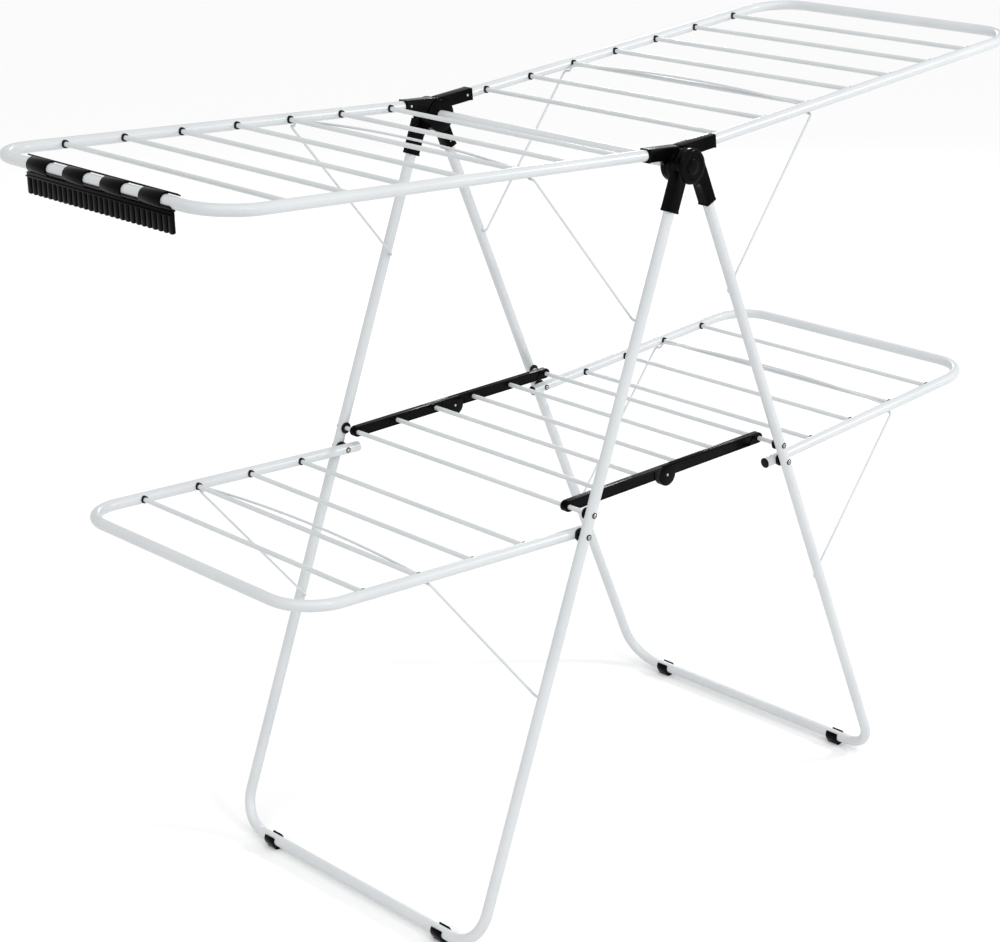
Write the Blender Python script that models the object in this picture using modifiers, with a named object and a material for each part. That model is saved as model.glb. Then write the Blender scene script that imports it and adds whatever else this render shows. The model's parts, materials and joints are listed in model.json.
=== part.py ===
"""Two-tier gull-wing clothes drying rack that folds flat.

Run with: blender --background --python part.py
Metres, +Z up. The origin is on the floor under the middle of the rack, X runs along the wings (the left
wings are at -X), and Y is the depth (the near side is -Y). Two U-shaped leg frames meet at an axle and
stand as an A. Each leg carries an upper wing at the axle and a lower wing further down, and each wing
rests on a bent wire stay that is pivoted in the leg. A folding shelf ties the two leg frames together.
"""

import math

import bmesh
import bpy
from mathutils import Matrix, Vector

# Tubes, rods and wires
TUBE_RADIUS = 0.008
TUBE_WALL = 0.0008
ROD_RADIUS = 0.0035
ROD_WALL = 0.0006
STAY_RADIUS = 0.0018
TUBE_SIDES_RESOLUTION = 3
WIRE_SIDES_RESOLUTION = 2
ROD_SIDES = 10
BEND_STEPS = 5

# Clearances. A cutter goes through the wall by CUT_PAST
FIT_GAP = 0.0003
ROD_HOLE_GAP = 0.0003
DISC_GAP = 0.0004
CUT_PAST = 0.002

# Depth of the rack: the wings' rails, and the leg tubes outside them
WING_PLANE = 0.2525
RAIL_GAP = 0.0025
LEG_PLANE = WING_PLANE + 2 * TUBE_RADIUS + RAIL_GAP

# Legs
AXLE_HEIGHT = 1.0565
LEG_ANGLE = math.radians(21.75)
LEG_OFFSET = 0.0143
LEG_BEND_RADIUS = 0.054
SOLE_THICKNESS = 0.0060
FLOOR_BAR_HEIGHT = TUBE_RADIUS + SOLE_THICKNESS

# Upper wings. The rods are spaced evenly from the first one to the one before the end rail
WING_TILT = math.radians(4.1)
WING_OFFSET = 0.0180
WING_REACH = 0.77475
WING_FIRST_ROD = 0.09725
WING_END_SPACE = 0.1147
WING_RODS = 7
WING_BEND_RADIUS = 0.066

# Lower wings
LOWER_TILT = math.radians(3.5)
LOWER_PIVOT = 0.5268
LOWER_REACH = 0.4775
LOWER_FIRST_ROD = 0.0902
LOWER_END_SPACE = 0.1059
LOWER_RODS = 4
LOWER_TAIL = 0.0235

# How far a rod's end goes past the rail's wall into the rail
ROD_ENGAGEMENT = 0.002

# Hub connectors. Four discs fill the stack from inside the wing sleeves to outside the leg sleeves
DISC_RADIUS = 0.0250
STACK_INBOARD = 0.0024
STACK_OUTBOARD = 0.0005
SLEEVE_CLEARANCE = 0.0025
SLEEVE_LENGTH = 0.0405
SLEEVE_WALL = 0.0008
SLEEVE_BEVEL = 0.0012
SLEEVE_STOP = 0.0035
SLEEVE_START = DISC_RADIUS + SLEEVE_CLEARANCE
SLEEVE_END = SLEEVE_START + SLEEVE_LENGTH
SLEEVE_HALF = TUBE_RADIUS + FIT_GAP + SLEEVE_WALL
DISC_STACK_START = WING_PLANE - SLEEVE_HALF - STACK_INBOARD
DISC_STACK_END = LEG_PLANE + SLEEVE_HALF + STACK_OUTBOARD
DISC_THICKNESS = (DISC_STACK_END - DISC_STACK_START - 3 * DISC_GAP) / 4
NECK_INSET = 0.0004
NECK_RELIEF = 0.0002
NECK_INTO_SLEEVE = 0.003
TUBE_START = SLEEVE_START + SLEEVE_STOP + 0.0005

# Top axle
AXLE_RADIUS = 0.008
AXLE_FLANGE_WIDTH = 0.0035
AXLE_FLANGE_THICKNESS = 0.0020

# Centre shelf. Its pivots are so far above the lower wings' pivots, along the leg
SHELF_RISE = 0.0310
SHELF_PIVOT = LOWER_PIVOT - SHELF_RISE
SHELF_RODS = 6
SHELF_BAR_THICKNESS = 0.0110
NEAR_BAR_GAP = 0.0155
FAR_BAR_GAP = 0.0005
BAR_TOP = 0.0085
BAR_BOTTOM = 0.0075
BAR_END_RADIUS = (BAR_TOP + BAR_BOTTOM) / 2
KNUCKLE_DROP = 0.0055
KNUCKLE_CROWN = 0.0025
KNUCKLE_RADIUS = BAR_TOP + KNUCKLE_DROP + KNUCKLE_CROWN
KNUCKLE_PIN_RADIUS = 0.0030
LUG_ROOT = 0.0120
LUG_INSET = 0.0003
COLLAR_WALL = 0.0023
COLLAR_LENGTH = 0.0100

# Stays
UPPER_STAY_HOLE = 0.2228
LOWER_STAY_HOLE = 0.7608
STAY_ROD = 3
STAY_TO_LEG = 0.0070
STAY_PLANE = LEG_PLANE - TUBE_RADIUS - STAY_TO_LEG
STAY_TAIL = 0.0050
STAY_CORNER_RADIUS = 0.0060
STAY_INBOARD = 0.0060

# Bolts and screws
BOLT_RADIUS = 0.0025
HEAD_WIDTH = 0.0020
HEAD_THICKNESS = 0.0020
SPACER_WALL = 0.0045

# Foot clips
FOOT_INSET = 0.0240
FOOT_LENGTH = 0.0260
FOOT_WALL = 0.0035
FOOT_SOLE_WIDTH = 0.0190
FOOT_SLOT_WIDTH = 0.0080

# Sock clip bar. The clips start at its far end and leave SOCK_FREE_END without one
SOCK_CENTRE_Y = -0.0070
SOCK_LENGTH = 0.3260
SOCK_CLIPS = 4
SOCK_CLIP_LENGTH = 0.0430
SOCK_FREE_END = 0.0361
SOCK_WALL = 0.0028
SOCK_TEETH = 28
SOCK_TOOTH_GAP = 0.0022
SOCK_TOOTH_LENGTH = 0.0200
SOCK_PLATE_HEIGHT = 0.0069
SOCK_PLATE_SHIFT = 0.0040
SOCK_PLATE_LAP = 0.0012
SOCK_STRIP_ANGLE = math.radians(62.0)
SOCK_STRIP_WIDTH = 0.0037
SOCK_STRIP_THICKNESS = 0.0024
SOCK_STRIP_LAP = 0.0008

LEFT = -1
RIGHT = 1
NEAR = -1
FAR = 1
SIDE_NAMES = {LEFT: "left", RIGHT: "right"}
DEPTH_NAMES = {NEAR: "near", FAR: "far"}


def clear_scene():
    for obj in list(bpy.data.objects):
        bpy.data.objects.remove(obj, do_unlink=True)


def make_collection(name):
    collection = bpy.data.collections.new(name)
    bpy.context.scene.collection.children.link(collection)
    return collection


def make_material(name, colour, roughness, metallic):
    material = bpy.data.materials.new(name)
    material.use_nodes = True
    shader = material.node_tree.nodes["Principled BSDF"]
    shader.inputs["Base Color"].default_value = (*colour, 1.0)
    shader.inputs["Roughness"].default_value = roughness
    shader.inputs["Metallic"].default_value = metallic
    return material


clear_scene()
PARTS = make_collection("clothes_drying_rack")
HELPERS = make_collection("cutters")
WHITE_STEEL = make_material("white_powder_coat", (0.80, 0.82, 0.83), 0.35, 0.0)
BLACK_PLASTIC = make_material("black_plastic", (0.012, 0.012, 0.013), 0.30, 0.0)
BRIGHT_STEEL = make_material("bright_steel", (0.60, 0.60, 0.60), 0.30, 1.0)


# Places on the rack

def leg_point(side, along, y=0.0, out=0.0):
    """A point on a leg's centreline, so far below the axle, and so far out from it."""
    outward = Vector((side * math.cos(LEG_ANGLE), 0.0, math.sin(LEG_ANGLE)))
    down = Vector((side * math.sin(LEG_ANGLE), 0.0, -math.cos(LEG_ANGLE)))
    return Vector((0.0, y, AXLE_HEIGHT)) + outward * (LEG_OFFSET + out) + down * along


def wing_point(side, along, y=0.0, rise=0.0):
    """A point on an upper wing's rail, so far from the axle along the wing."""
    outward = Vector((side * math.cos(WING_TILT), 0.0, math.sin(WING_TILT)))
    upward = Vector((-side * math.sin(WING_TILT), 0.0, math.cos(WING_TILT)))
    return Vector((0.0, y, AXLE_HEIGHT)) + upward * (WING_OFFSET + rise) + outward * along


def lower_point(side, along, y=0.0, rise=0.0):
    """A point on a lower wing's rail, so far from its pivot along the wing."""
    outward = Vector((side * math.cos(LOWER_TILT), 0.0, math.sin(LOWER_TILT)))
    upward = Vector((-side * math.sin(LOWER_TILT), 0.0, math.cos(LOWER_TILT)))
    return leg_point(side, LOWER_PIVOT, y) + upward * rise + outward * along


def leg_length():
    """Distance along the leg from the axle's level to the floor bar's centreline."""
    top = leg_point(LEFT, 0.0).z
    return (top - FLOOR_BAR_HEIGHT) / math.cos(LEG_ANGLE)


# Building blocks

def link(obj, material=None, collection=PARTS):
    collection.objects.link(obj)
    if material is not None:
        obj.data.materials.clear()
        obj.data.materials.append(material)
    return obj


def hide_helper(obj):
    obj.hide_render = True
    obj.display_type = "WIRE"
    return obj


def smooth(obj, angle=40.0):
    obj.data.shade_smooth()
    obj.data.set_sharp_from_angle(angle=math.radians(angle))


def set_origin(obj, point):
    """Move an object's origin to a point without moving its mesh in the world."""
    origin = Matrix.Translation(Vector(point))
    obj.data.transform(origin.inverted() @ obj.matrix_world)
    obj.matrix_world = origin


def curve_to_mesh(curve_obj, name, merge=1e-5):
    """Turn a curve object into a mesh object with its caps welded."""
    bpy.context.view_layer.update()
    graph = bpy.context.evaluated_depsgraph_get()
    mesh = bpy.data.meshes.new_from_object(curve_obj.evaluated_get(graph))
    body = bmesh.new()
    body.from_mesh(mesh)
    bmesh.ops.remove_doubles(body, verts=body.verts, dist=merge)
    bmesh.ops.recalc_face_normals(body, faces=body.faces)
    body.to_mesh(mesh)
    body.free()
    mesh.name = name
    obj = bpy.data.objects.new(name, mesh)
    obj.matrix_world = curve_obj.matrix_world
    data = curve_obj.data
    bpy.data.objects.remove(curve_obj, do_unlink=True)
    bpy.data.curves.remove(data)
    obj.name = name
    return obj


def path_curve(name, points, radius, resolution, caps):
    data = bpy.data.curves.new(name, "CURVE")
    data.dimensions = "3D"
    data.bevel_depth = radius
    data.bevel_resolution = resolution
    data.use_fill_caps = caps
    spline = data.splines.new("POLY")
    spline.points.add(len(points) - 1)
    for spot, point in zip(spline.points, points):
        spot.co = (*point, 1.0)
    obj = bpy.data.objects.new(name, data)
    HELPERS.objects.link(obj)
    return obj


def tube(name, points, material):
    """A hollow round tube along a path, open at both ends."""
    curve = path_curve(name, points, TUBE_RADIUS, TUBE_SIDES_RESOLUTION, caps=False)
    obj = link(curve_to_mesh(curve, name), material)
    wall = obj.modifiers.new("wall", "SOLIDIFY")
    wall.thickness = TUBE_WALL
    wall.offset = -1.0
    wall.use_even_offset = True
    wall.use_rim = True
    smooth(obj)
    return obj


def wire(name, points, radius, material):
    """A solid bent wire along a path."""
    curve = path_curve(name, points, radius, WIRE_SIDES_RESOLUTION, caps=True)
    obj = link(curve_to_mesh(curve, name), material)
    smooth(obj, 60.0)
    return obj


def cylinder(name, start, end, radius, sides, material=None, collection=PARTS):
    """A round solid from one point to another."""
    start, end = Vector(start), Vector(end)
    axis = end - start
    mesh = bpy.data.meshes.new(name)
    body = bmesh.new()
    bmesh.ops.create_cone(
        body, cap_ends=True, segments=sides, radius1=radius, radius2=radius, depth=axis.length
    )
    body.to_mesh(mesh)
    body.free()
    obj = bpy.data.objects.new(name, mesh)
    obj.matrix_world = (
        Matrix.Translation((start + end) / 2) @ axis.to_track_quat("Z", "Y").to_matrix().to_4x4()
    )
    link(obj, material, collection)
    smooth(obj)
    return obj


def box(name, low, high, material=None, collection=PARTS):
    """A box between two corners."""
    low, high = Vector(low), Vector(high)
    mesh = bpy.data.meshes.new(name)
    body = bmesh.new()
    bmesh.ops.create_cube(body, size=1.0)
    bmesh.ops.scale(body, vec=high - low, verts=body.verts)
    bmesh.ops.translate(body, vec=(low + high) / 2, verts=body.verts)
    body.to_mesh(mesh)
    body.free()
    return link(bpy.data.objects.new(name, mesh), material, collection)


def turned(name, profile, material, steps=20):
    """A turned piece: (radius, y) points on its outline, turned about the Y axis."""
    mesh = bpy.data.meshes.new(name)
    points = [(radius, y, 0.0) for radius, y in profile]
    closed = profile[0][0] > 0.0
    edges = [(i, i + 1) for i in range(len(points) - 1)]
    if closed:
        edges.append((len(points) - 1, 0))
    mesh.from_pydata(points, edges, [])
    obj = link(bpy.data.objects.new(name, mesh), material)
    turn = obj.modifiers.new("turn", "SCREW")
    turn.axis = "Y"
    turn.steps = steps
    turn.render_steps = steps
    turn.use_merge_vertices = True
    turn.merge_threshold = 0.00001
    return obj


def plate(name, outline, y_low, y_high, material=None, collection=HELPERS):
    """A flat piece cut to an (x, z) outline, between two depths."""
    data = bpy.data.curves.new(name, "CURVE")
    data.dimensions = "2D"
    data.fill_mode = "BOTH"
    data.extrude = (y_high - y_low) / 2
    spline = data.splines.new("POLY")
    spline.points.add(len(outline) - 1)
    for spot, (x, z) in zip(spline.points, outline):
        spot.co = (x, z, 0.0, 1.0)
    spline.use_cyclic_u = True
    curve = bpy.data.objects.new(name, data)
    curve.matrix_world = Matrix.Translation((0.0, (y_low + y_high) / 2, 0.0)) @ Matrix.Rotation(
        math.radians(90.0), 4, "X"
    )
    HELPERS.objects.link(curve)
    return link(curve_to_mesh(curve, name), material, collection)


def combine(obj, other, operation):
    """Add a Boolean of another object, which becomes a hidden helper."""
    if other.name in PARTS.objects:
        PARTS.objects.unlink(other)
        HELPERS.objects.link(other)
    hide_helper(other)
    step = obj.modifiers.new(operation.lower(), "BOOLEAN")
    step.operation = operation
    step.solver = "EXACT"
    step.object = other


def join_helpers(name, pieces):
    """One helper mesh from several separate helper solids."""
    body = bmesh.new()
    for piece in pieces:
        part = piece.data.copy()
        part.transform(piece.matrix_world)
        body.from_mesh(part)
        bpy.data.meshes.remove(part)
        bpy.data.objects.remove(piece, do_unlink=True)
    mesh = bpy.data.meshes.new(name)
    body.to_mesh(mesh)
    body.free()
    return link(bpy.data.objects.new(name, mesh), None, HELPERS)


def drill(obj, holes):
    """Cut round holes, each (start, end, radius)."""
    bits = [
        cylinder("bit", start, end, radius, ROD_SIDES, None, HELPERS) for start, end, radius in holes
    ]
    combine(obj, join_helpers(obj.name + "_holes", bits), "DIFFERENCE")


def arc(centre, radius, start, end, steps):
    """(x, z) points along an arc, angles in degrees."""
    angles = [math.radians(start + (end - start) * k / steps) for k in range(steps + 1)]
    return [(centre[0] + radius * math.cos(a), centre[1] + radius * math.sin(a)) for a in angles]


def u_path(place, start, reach, half_depth, bend_radius):
    """Points of a U-shaped tube: near rail out, across at its reach, and far rail back."""
    corner = [
        (
            reach - bend_radius + bend_radius * math.sin(math.radians(90.0 * k / BEND_STEPS)),
            half_depth - bend_radius + bend_radius * math.cos(math.radians(90.0 * k / BEND_STEPS)),
        )
        for k in range(BEND_STEPS + 1)
    ]
    near = [(start, half_depth)] + corner
    path = [place(along, -y) for along, y in near]
    path += [place(along, y) for along, y in reversed(near)]
    return path


# The legs, the axle and the hub

def disc_span(order):
    """Inner and outer distance from the middle of a hub disc, counted from the inside."""
    inner = DISC_STACK_START + order * (DISC_THICKNESS + DISC_GAP)
    return inner, inner + DISC_THICKNESS


def leg_frame(side):
    name = f"{SIDE_NAMES[side]}_leg_frame"
    path = u_path(
        lambda along, y: leg_point(side, along, y),
        TUBE_START,
        leg_length(),
        LEG_PLANE,
        LEG_BEND_RADIUS,
    )
    obj = tube(name, path, WHITE_STEEL)
    inner = LEG_PLANE - TUBE_RADIUS
    outer = LEG_PLANE + TUBE_RADIUS
    holes = []
    for depth in (NEAR, FAR):
        for along in (UPPER_STAY_HOLE, LOWER_STAY_HOLE):
            holes.append((
                leg_point(side, along, depth * (inner - CUT_PAST)),
                leg_point(side, along, depth * LEG_PLANE),
                STAY_RADIUS + ROD_HOLE_GAP,
            ))
        holes.append((
            leg_point(side, LOWER_PIVOT, depth * (inner - CUT_PAST)),
            leg_point(side, LOWER_PIVOT, depth * (outer + CUT_PAST)),
            BOLT_RADIUS + FIT_GAP,
        ))
        if side == LEFT:
            holes.append((
                leg_point(side, SHELF_PIVOT, depth * (inner - CUT_PAST)),
                leg_point(side, SHELF_PIVOT, depth * (outer + CUT_PAST)),
                ROD_RADIUS + ROD_HOLE_GAP,
            ))
    drill(obj, holes)
    return obj


def top_axle():
    half = disc_span(3)[1] + DISC_GAP
    end = half + AXLE_FLANGE_THICKNESS
    bore = AXLE_RADIUS - TUBE_WALL
    flange = AXLE_RADIUS + AXLE_FLANGE_WIDTH
    profile = [
        (bore, end),
        (flange, end),
        (flange, half),
        (AXLE_RADIUS, half),
        (AXLE_RADIUS, -half),
        (flange, -half),
        (flange, -end),
        (bore, -end),
    ]
    obj = turned("top_axle", profile, WHITE_STEEL)
    obj.location = (0.0, 0.0, AXLE_HEIGHT)
    return obj


def hub_connector(name, side, depth, order, plane, down_angle, offset):
    """A disc on the axle with a square sleeve for one tube end.

    The sleeve's frame has x along the tube away from the axle and z outward from the axle line.
    """
    inner, outer = disc_span(order)
    low, high = sorted((depth * inner, depth * outer))
    sleeve_low, sleeve_high = depth * plane - SLEEVE_HALF, depth * plane + SLEEVE_HALF
    disc = cylinder(name, (0, low, 0), (0, high, 0), DISC_RADIUS, 28, BLACK_PLASTIC)
    neck = box(
        name + "_neck",
        (0.0, max(low + NECK_RELIEF, sleeve_low), offset - SLEEVE_HALF + NECK_INSET),
        (
            SLEEVE_START + NECK_INTO_SLEEVE,
            min(high - NECK_RELIEF, sleeve_high),
            offset + SLEEVE_HALF - NECK_INSET,
        ),
        None,
        HELPERS,
    )
    sleeve = box(
        name + "_sleeve",
        (SLEEVE_START, sleeve_low, offset - SLEEVE_HALF),
        (SLEEVE_END, sleeve_high, offset + SLEEVE_HALF),
        None,
        HELPERS,
    )
    edge = sleeve.modifiers.new("edge", "BEVEL")
    edge.width = SLEEVE_BEVEL
    edge.segments = 1
    bore = cylinder(
        name + "_bore",
        (0, low - CUT_PAST, 0),
        (0, high + CUT_PAST, 0),
        AXLE_RADIUS + FIT_GAP,
        20,
        None,
        HELPERS,
    )
    pocket = cylinder(
        name + "_pocket",
        (SLEEVE_START + SLEEVE_STOP, depth * plane, offset),
        (SLEEVE_END + CUT_PAST, depth * plane, offset),
        TUBE_RADIUS + FIT_GAP,
        20,
        None,
        HELPERS,
    )
    place = Matrix.Translation((0, 0, AXLE_HEIGHT))
    if side == LEFT:
        place = place @ Matrix.Scale(-1, 4, (1, 0, 0))
    turn = Matrix.Rotation(down_angle, 4, "Y")
    for piece in (disc, neck, sleeve, bore, pocket):
        mesh = piece.data
        mesh.transform(piece.matrix_world)
        mesh.transform(place @ turn)
        if side == LEFT:
            mesh.flip_normals()
        piece.matrix_world = Matrix.Identity(4)
    combine(disc, neck, "UNION")
    combine(disc, sleeve, "UNION")
    combine(disc, bore, "DIFFERENCE")
    combine(disc, pocket, "DIFFERENCE")
    set_origin(disc, (0, 0, AXLE_HEIGHT))
    for piece in (neck, sleeve, bore, pocket):
        set_origin(piece, (0, 0, AXLE_HEIGHT))
    return disc


def hub():
    """Eight connectors: on each end of the axle, two for the wings and two for the legs."""
    for depth in (NEAR, FAR):
        for order, side in ((0, LEFT), (1, RIGHT)):
            hub_connector(
                f"{SIDE_NAMES[side]}_wing_hub_{DEPTH_NAMES[depth]}",
                side, depth, order, WING_PLANE, -WING_TILT, WING_OFFSET,
            )
        for order, side in ((2, LEFT), (3, RIGHT)):
            hub_connector(
                f"{SIDE_NAMES[side]}_leg_hub_{DEPTH_NAMES[depth]}",
                side, depth, order, LEG_PLANE, math.radians(90.0) - LEG_ANGLE, LEG_OFFSET,
            )


# The wings

def rod_places(first, reach, end_space, count):
    """Distances along a wing of its rods, evenly spaced."""
    pitch = (reach - first - end_space) / (count - 1)
    return [first + pitch * k for k in range(count)]


def upper_rods():
    return rod_places(WING_FIRST_ROD, WING_REACH, WING_END_SPACE, WING_RODS)


def lower_rods():
    return rod_places(LOWER_FIRST_ROD, LOWER_REACH, LOWER_END_SPACE, LOWER_RODS)


def rail_holes(place, rods, plane):
    """Holes for the rod ends, in the inner walls of both rails."""
    holes = []
    for along in rods:
        for depth in (NEAR, FAR):
            holes.append((
                place(along, depth * (plane - TUBE_RADIUS - CUT_PAST)),
                place(along, depth * plane),
                ROD_RADIUS + ROD_HOLE_GAP,
            ))
    return holes


def rod_end():
    """How far from the middle a wing rod reaches, just inside the rail's inner wall."""
    return WING_PLANE - TUBE_RADIUS + TUBE_WALL + ROD_ENGAGEMENT


def rod(name, centre, low, high):
    """A thin tube along Y with open ends."""
    bore = ROD_RADIUS - ROD_WALL
    profile = [(ROD_RADIUS, high), (ROD_RADIUS, low), (bore, low), (bore, high)]
    obj = turned(name, profile, WHITE_STEEL, steps=ROD_SIDES)
    obj.location = centre
    return obj


def wing_rods(prefix, place, rods):
    for number, along in enumerate(rods, start=1):
        rod(f"{prefix}_rod_{number}", place(along, 0.0), -rod_end(), rod_end())


def upper_wing(side):
    name = f"upper_{SIDE_NAMES[side]}_wing"

    def place(along, y):
        return wing_point(side, along, y)

    rods = upper_rods()
    path = u_path(place, TUBE_START, WING_REACH, WING_PLANE, WING_BEND_RADIUS)
    frame = tube(name + "_frame", path, WHITE_STEEL)
    drill(frame, rail_holes(place, rods, WING_PLANE))
    wing_rods(name, place, rods)


def lower_wing(side):
    name = f"lower_{SIDE_NAMES[side]}_wing"

    def place(along, y):
        return lower_point(side, along, y)

    rods = lower_rods()
    path = u_path(place, -LOWER_TAIL, LOWER_REACH, WING_PLANE, WING_BEND_RADIUS)
    frame = tube(name + "_frame", path, WHITE_STEEL)
    holes = rail_holes(place, rods, WING_PLANE)
    for depth in (NEAR, FAR):
        holes.append((
            place(0.0, depth * (WING_PLANE - TUBE_RADIUS - CUT_PAST)),
            place(0.0, depth * (WING_PLANE + TUBE_RADIUS + CUT_PAST)),
            BOLT_RADIUS + FIT_GAP,
        ))
    drill(frame, holes)
    wing_rods(name, place, rods)


def pivot_bolt(side, depth):
    """The bolt that a lower wing turns on, with the spacer between its rail and the leg."""
    rail_in = WING_PLANE - TUBE_RADIUS - FIT_GAP
    rail_out = WING_PLANE + TUBE_RADIUS + FIT_GAP
    leg_in = LEG_PLANE - TUBE_RADIUS - FIT_GAP
    leg_out = LEG_PLANE + TUBE_RADIUS + FIT_GAP
    head = BOLT_RADIUS + HEAD_WIDTH
    spacer = BOLT_RADIUS + SPACER_WALL
    profile = [
        (0.0, leg_out + HEAD_THICKNESS),
        (head, leg_out + HEAD_THICKNESS),
        (head, leg_out),
        (BOLT_RADIUS, leg_out),
        (BOLT_RADIUS, leg_in),
        (spacer, leg_in),
        (spacer, rail_out),
        (BOLT_RADIUS, rail_out),
        (BOLT_RADIUS, rail_in),
        (head, rail_in),
        (head, rail_in - HEAD_THICKNESS),
        (0.0, rail_in - HEAD_THICKNESS),
    ]
    obj = turned(
        f"lower_{SIDE_NAMES[side]}_pivot_{DEPTH_NAMES[depth]}", profile, BRIGHT_STEEL, steps=14
    )
    pivot = leg_point(side, LOWER_PIVOT)
    obj.location = pivot
    if depth == NEAR:
        obj.rotation_euler = (0.0, 0.0, math.pi)
    return obj


# The stays

def stay(name, hole, knee):
    """A wire bent to a U: hooked into both legs at the hole, and crossing under the wing at the knee."""
    reach = knee - hole
    along = reach.normalized()
    hook = LEG_PLANE - TUBE_RADIUS + STAY_TAIL
    bend = STAY_CORNER_RADIUS

    def at(distance, y):
        return hole + along * distance + Vector((0.0, y, 0.0))

    turn = [math.radians(90.0 * k / 3) for k in range(4)]
    foot = [
        (bend - bend * math.cos(a), STAY_PLANE + bend - bend * math.sin(a)) for a in turn
    ]
    corner = [
        (reach.length - bend + bend * math.sin(a), STAY_PLANE - bend + bend * math.cos(a)) for a in turn
    ]
    half = [(0.0, hook)] + foot + corner
    points = [at(distance, -y) for distance, y in half]
    points += [at(distance, y) for distance, y in reversed(half)]
    obj = wire(name, points, STAY_RADIUS, WHITE_STEEL)
    set_origin(obj, hole)
    return obj


def stays():
    drop = -(TUBE_RADIUS + STAY_RADIUS + 2 * FIT_GAP)
    for side in (LEFT, RIGHT):
        upper_knee = wing_point(side, upper_rods()[STAY_ROD - 1] - STAY_INBOARD, 0.0, drop)
        stay(f"upper_{SIDE_NAMES[side]}_stay", leg_point(side, UPPER_STAY_HOLE), upper_knee)
        lower_knee = lower_point(side, lower_rods()[STAY_ROD - 1] - STAY_INBOARD, 0.0, drop)
        stay(f"lower_{SIDE_NAMES[side]}_stay", leg_point(side, LOWER_STAY_HOLE), lower_knee)


# The centre shelf

def bar_span(depth):
    """Low and high y of a shelf bar."""
    gap = NEAR_BAR_GAP if depth == NEAR else FAR_BAR_GAP
    outer = WING_PLANE - TUBE_RADIUS - gap
    return tuple(sorted((depth * (outer - SHELF_BAR_THICKNESS), depth * outer)))


def shelf_level():
    return leg_point(LEFT, SHELF_PIVOT).z


def shelf_rod_places():
    """x of the shelf's rods, evenly spaced between its two leg pivots."""
    edge = leg_point(RIGHT, SHELF_PIVOT).x
    return [-edge + 2 * edge * k / (SHELF_RODS - 1) for k in range(SHELF_RODS)]


def shelf_bar(side, depth):
    """Half of a shelf bar, with the lug of its middle knuckle."""
    name = f"shelf_bar_{DEPTH_NAMES[depth]}_{SIDE_NAMES[side]}"
    level = shelf_level()
    low, high = bar_span(depth)
    end = abs(shelf_rod_places()[0])
    shoulder = KNUCKLE_RADIUS + 2 * FIT_GAP
    nose = arc((end, BAR_TOP - BAR_END_RADIUS), BAR_END_RADIUS, 90.0, -90.0, 8)
    outline = [(shoulder, BAR_TOP)] + nose + [(shoulder, -BAR_BOTTOM)]
    outline = [(side * x, level + z) for x, z in outline]
    bar = plate(name, outline, low, high, BLACK_PLASTIC, PARTS)

    # the lug is a little over half of the bar's thickness in from one face
    middle = (low + high) / 2
    outer_lug = side == RIGHT
    towards_outside = (depth == FAR) == outer_lug
    if towards_outside:
        lug_low, lug_high = middle + FIT_GAP / 2, high - FIT_GAP / 2
    else:
        lug_low, lug_high = low + FIT_GAP / 2, middle - FIT_GAP / 2
    rise = BAR_TOP + KNUCKLE_DROP - LUG_INSET
    top_angle = 180.0 - math.degrees(math.asin(rise / KNUCKLE_RADIUS))
    under = BAR_BOTTOM - KNUCKLE_DROP
    bottom_angle = 360.0 - math.degrees(math.asin(under / KNUCKLE_RADIUS))
    lobe = arc((0.0, -KNUCKLE_DROP), KNUCKLE_RADIUS, top_angle, bottom_angle, 14)
    root = shoulder + LUG_ROOT
    outline = [(root, BAR_TOP - LUG_INSET)] + lobe + [(root, -BAR_BOTTOM + LUG_INSET)]
    outline = [(side * x, level + z) for x, z in outline]
    combine(bar, plate(name + "_lug", outline, lug_low, lug_high), "UNION")

    pin_centre = level - KNUCKLE_DROP
    if outer_lug:
        pin_low, pin_high = low + FIT_GAP, high - FIT_GAP
        pin = cylinder(
            name + "_pin",
            (0, pin_low, pin_centre),
            (0, pin_high, pin_centre),
            KNUCKLE_PIN_RADIUS,
            14,
            None,
            HELPERS,
        )
        combine(bar, pin, "UNION")
        holes = []
    else:
        holes = [(
            (0, low - CUT_PAST, pin_centre), (0, high + CUT_PAST, pin_centre), KNUCKLE_PIN_RADIUS + FIT_GAP
        )]
    for x in shelf_rod_places():
        if x * side > 0:
            start, stop = (x, low - CUT_PAST, level), (x, high + CUT_PAST, level)
            holes.append((start, stop, ROD_RADIUS + ROD_HOLE_GAP))
    drill(bar, holes)
    set_origin(bar, (side * end, 0, level))
    return bar


def shelf_rods():
    """Six rods. The two outermost are also the shelf's pivots, with a collar inside each leg."""
    level = shelf_level()
    near_face = bar_span(NEAR)[0]
    far_face = bar_span(FAR)[1]
    for number, x in enumerate(shelf_rod_places(), start=1):
        name = f"shelf_rod_{number}"
        if 1 < number < SHELF_RODS:
            rod(name, (x, 0.0, level), near_face + FIT_GAP, far_face - FIT_GAP)
            continue
        leg_in = LEG_PLANE - TUBE_RADIUS - FIT_GAP
        leg_out = LEG_PLANE + TUBE_RADIUS + HEAD_THICKNESS
        collar_radius = ROD_RADIUS + COLLAR_WALL
        collar = leg_in - COLLAR_LENGTH
        half = [(0.0, leg_in)]
        if number == 1:
            half = [(0.0, leg_out), (ROD_RADIUS, leg_out), (ROD_RADIUS, leg_in)]
        half += [(collar_radius, leg_in), (collar_radius, collar), (ROD_RADIUS, collar)]
        profile = half + [(radius, -y) for radius, y in reversed(half)]
        obj = turned(name, profile, WHITE_STEEL, steps=ROD_SIDES)
        obj.location = (x, 0.0, level)


# Feet

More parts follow.
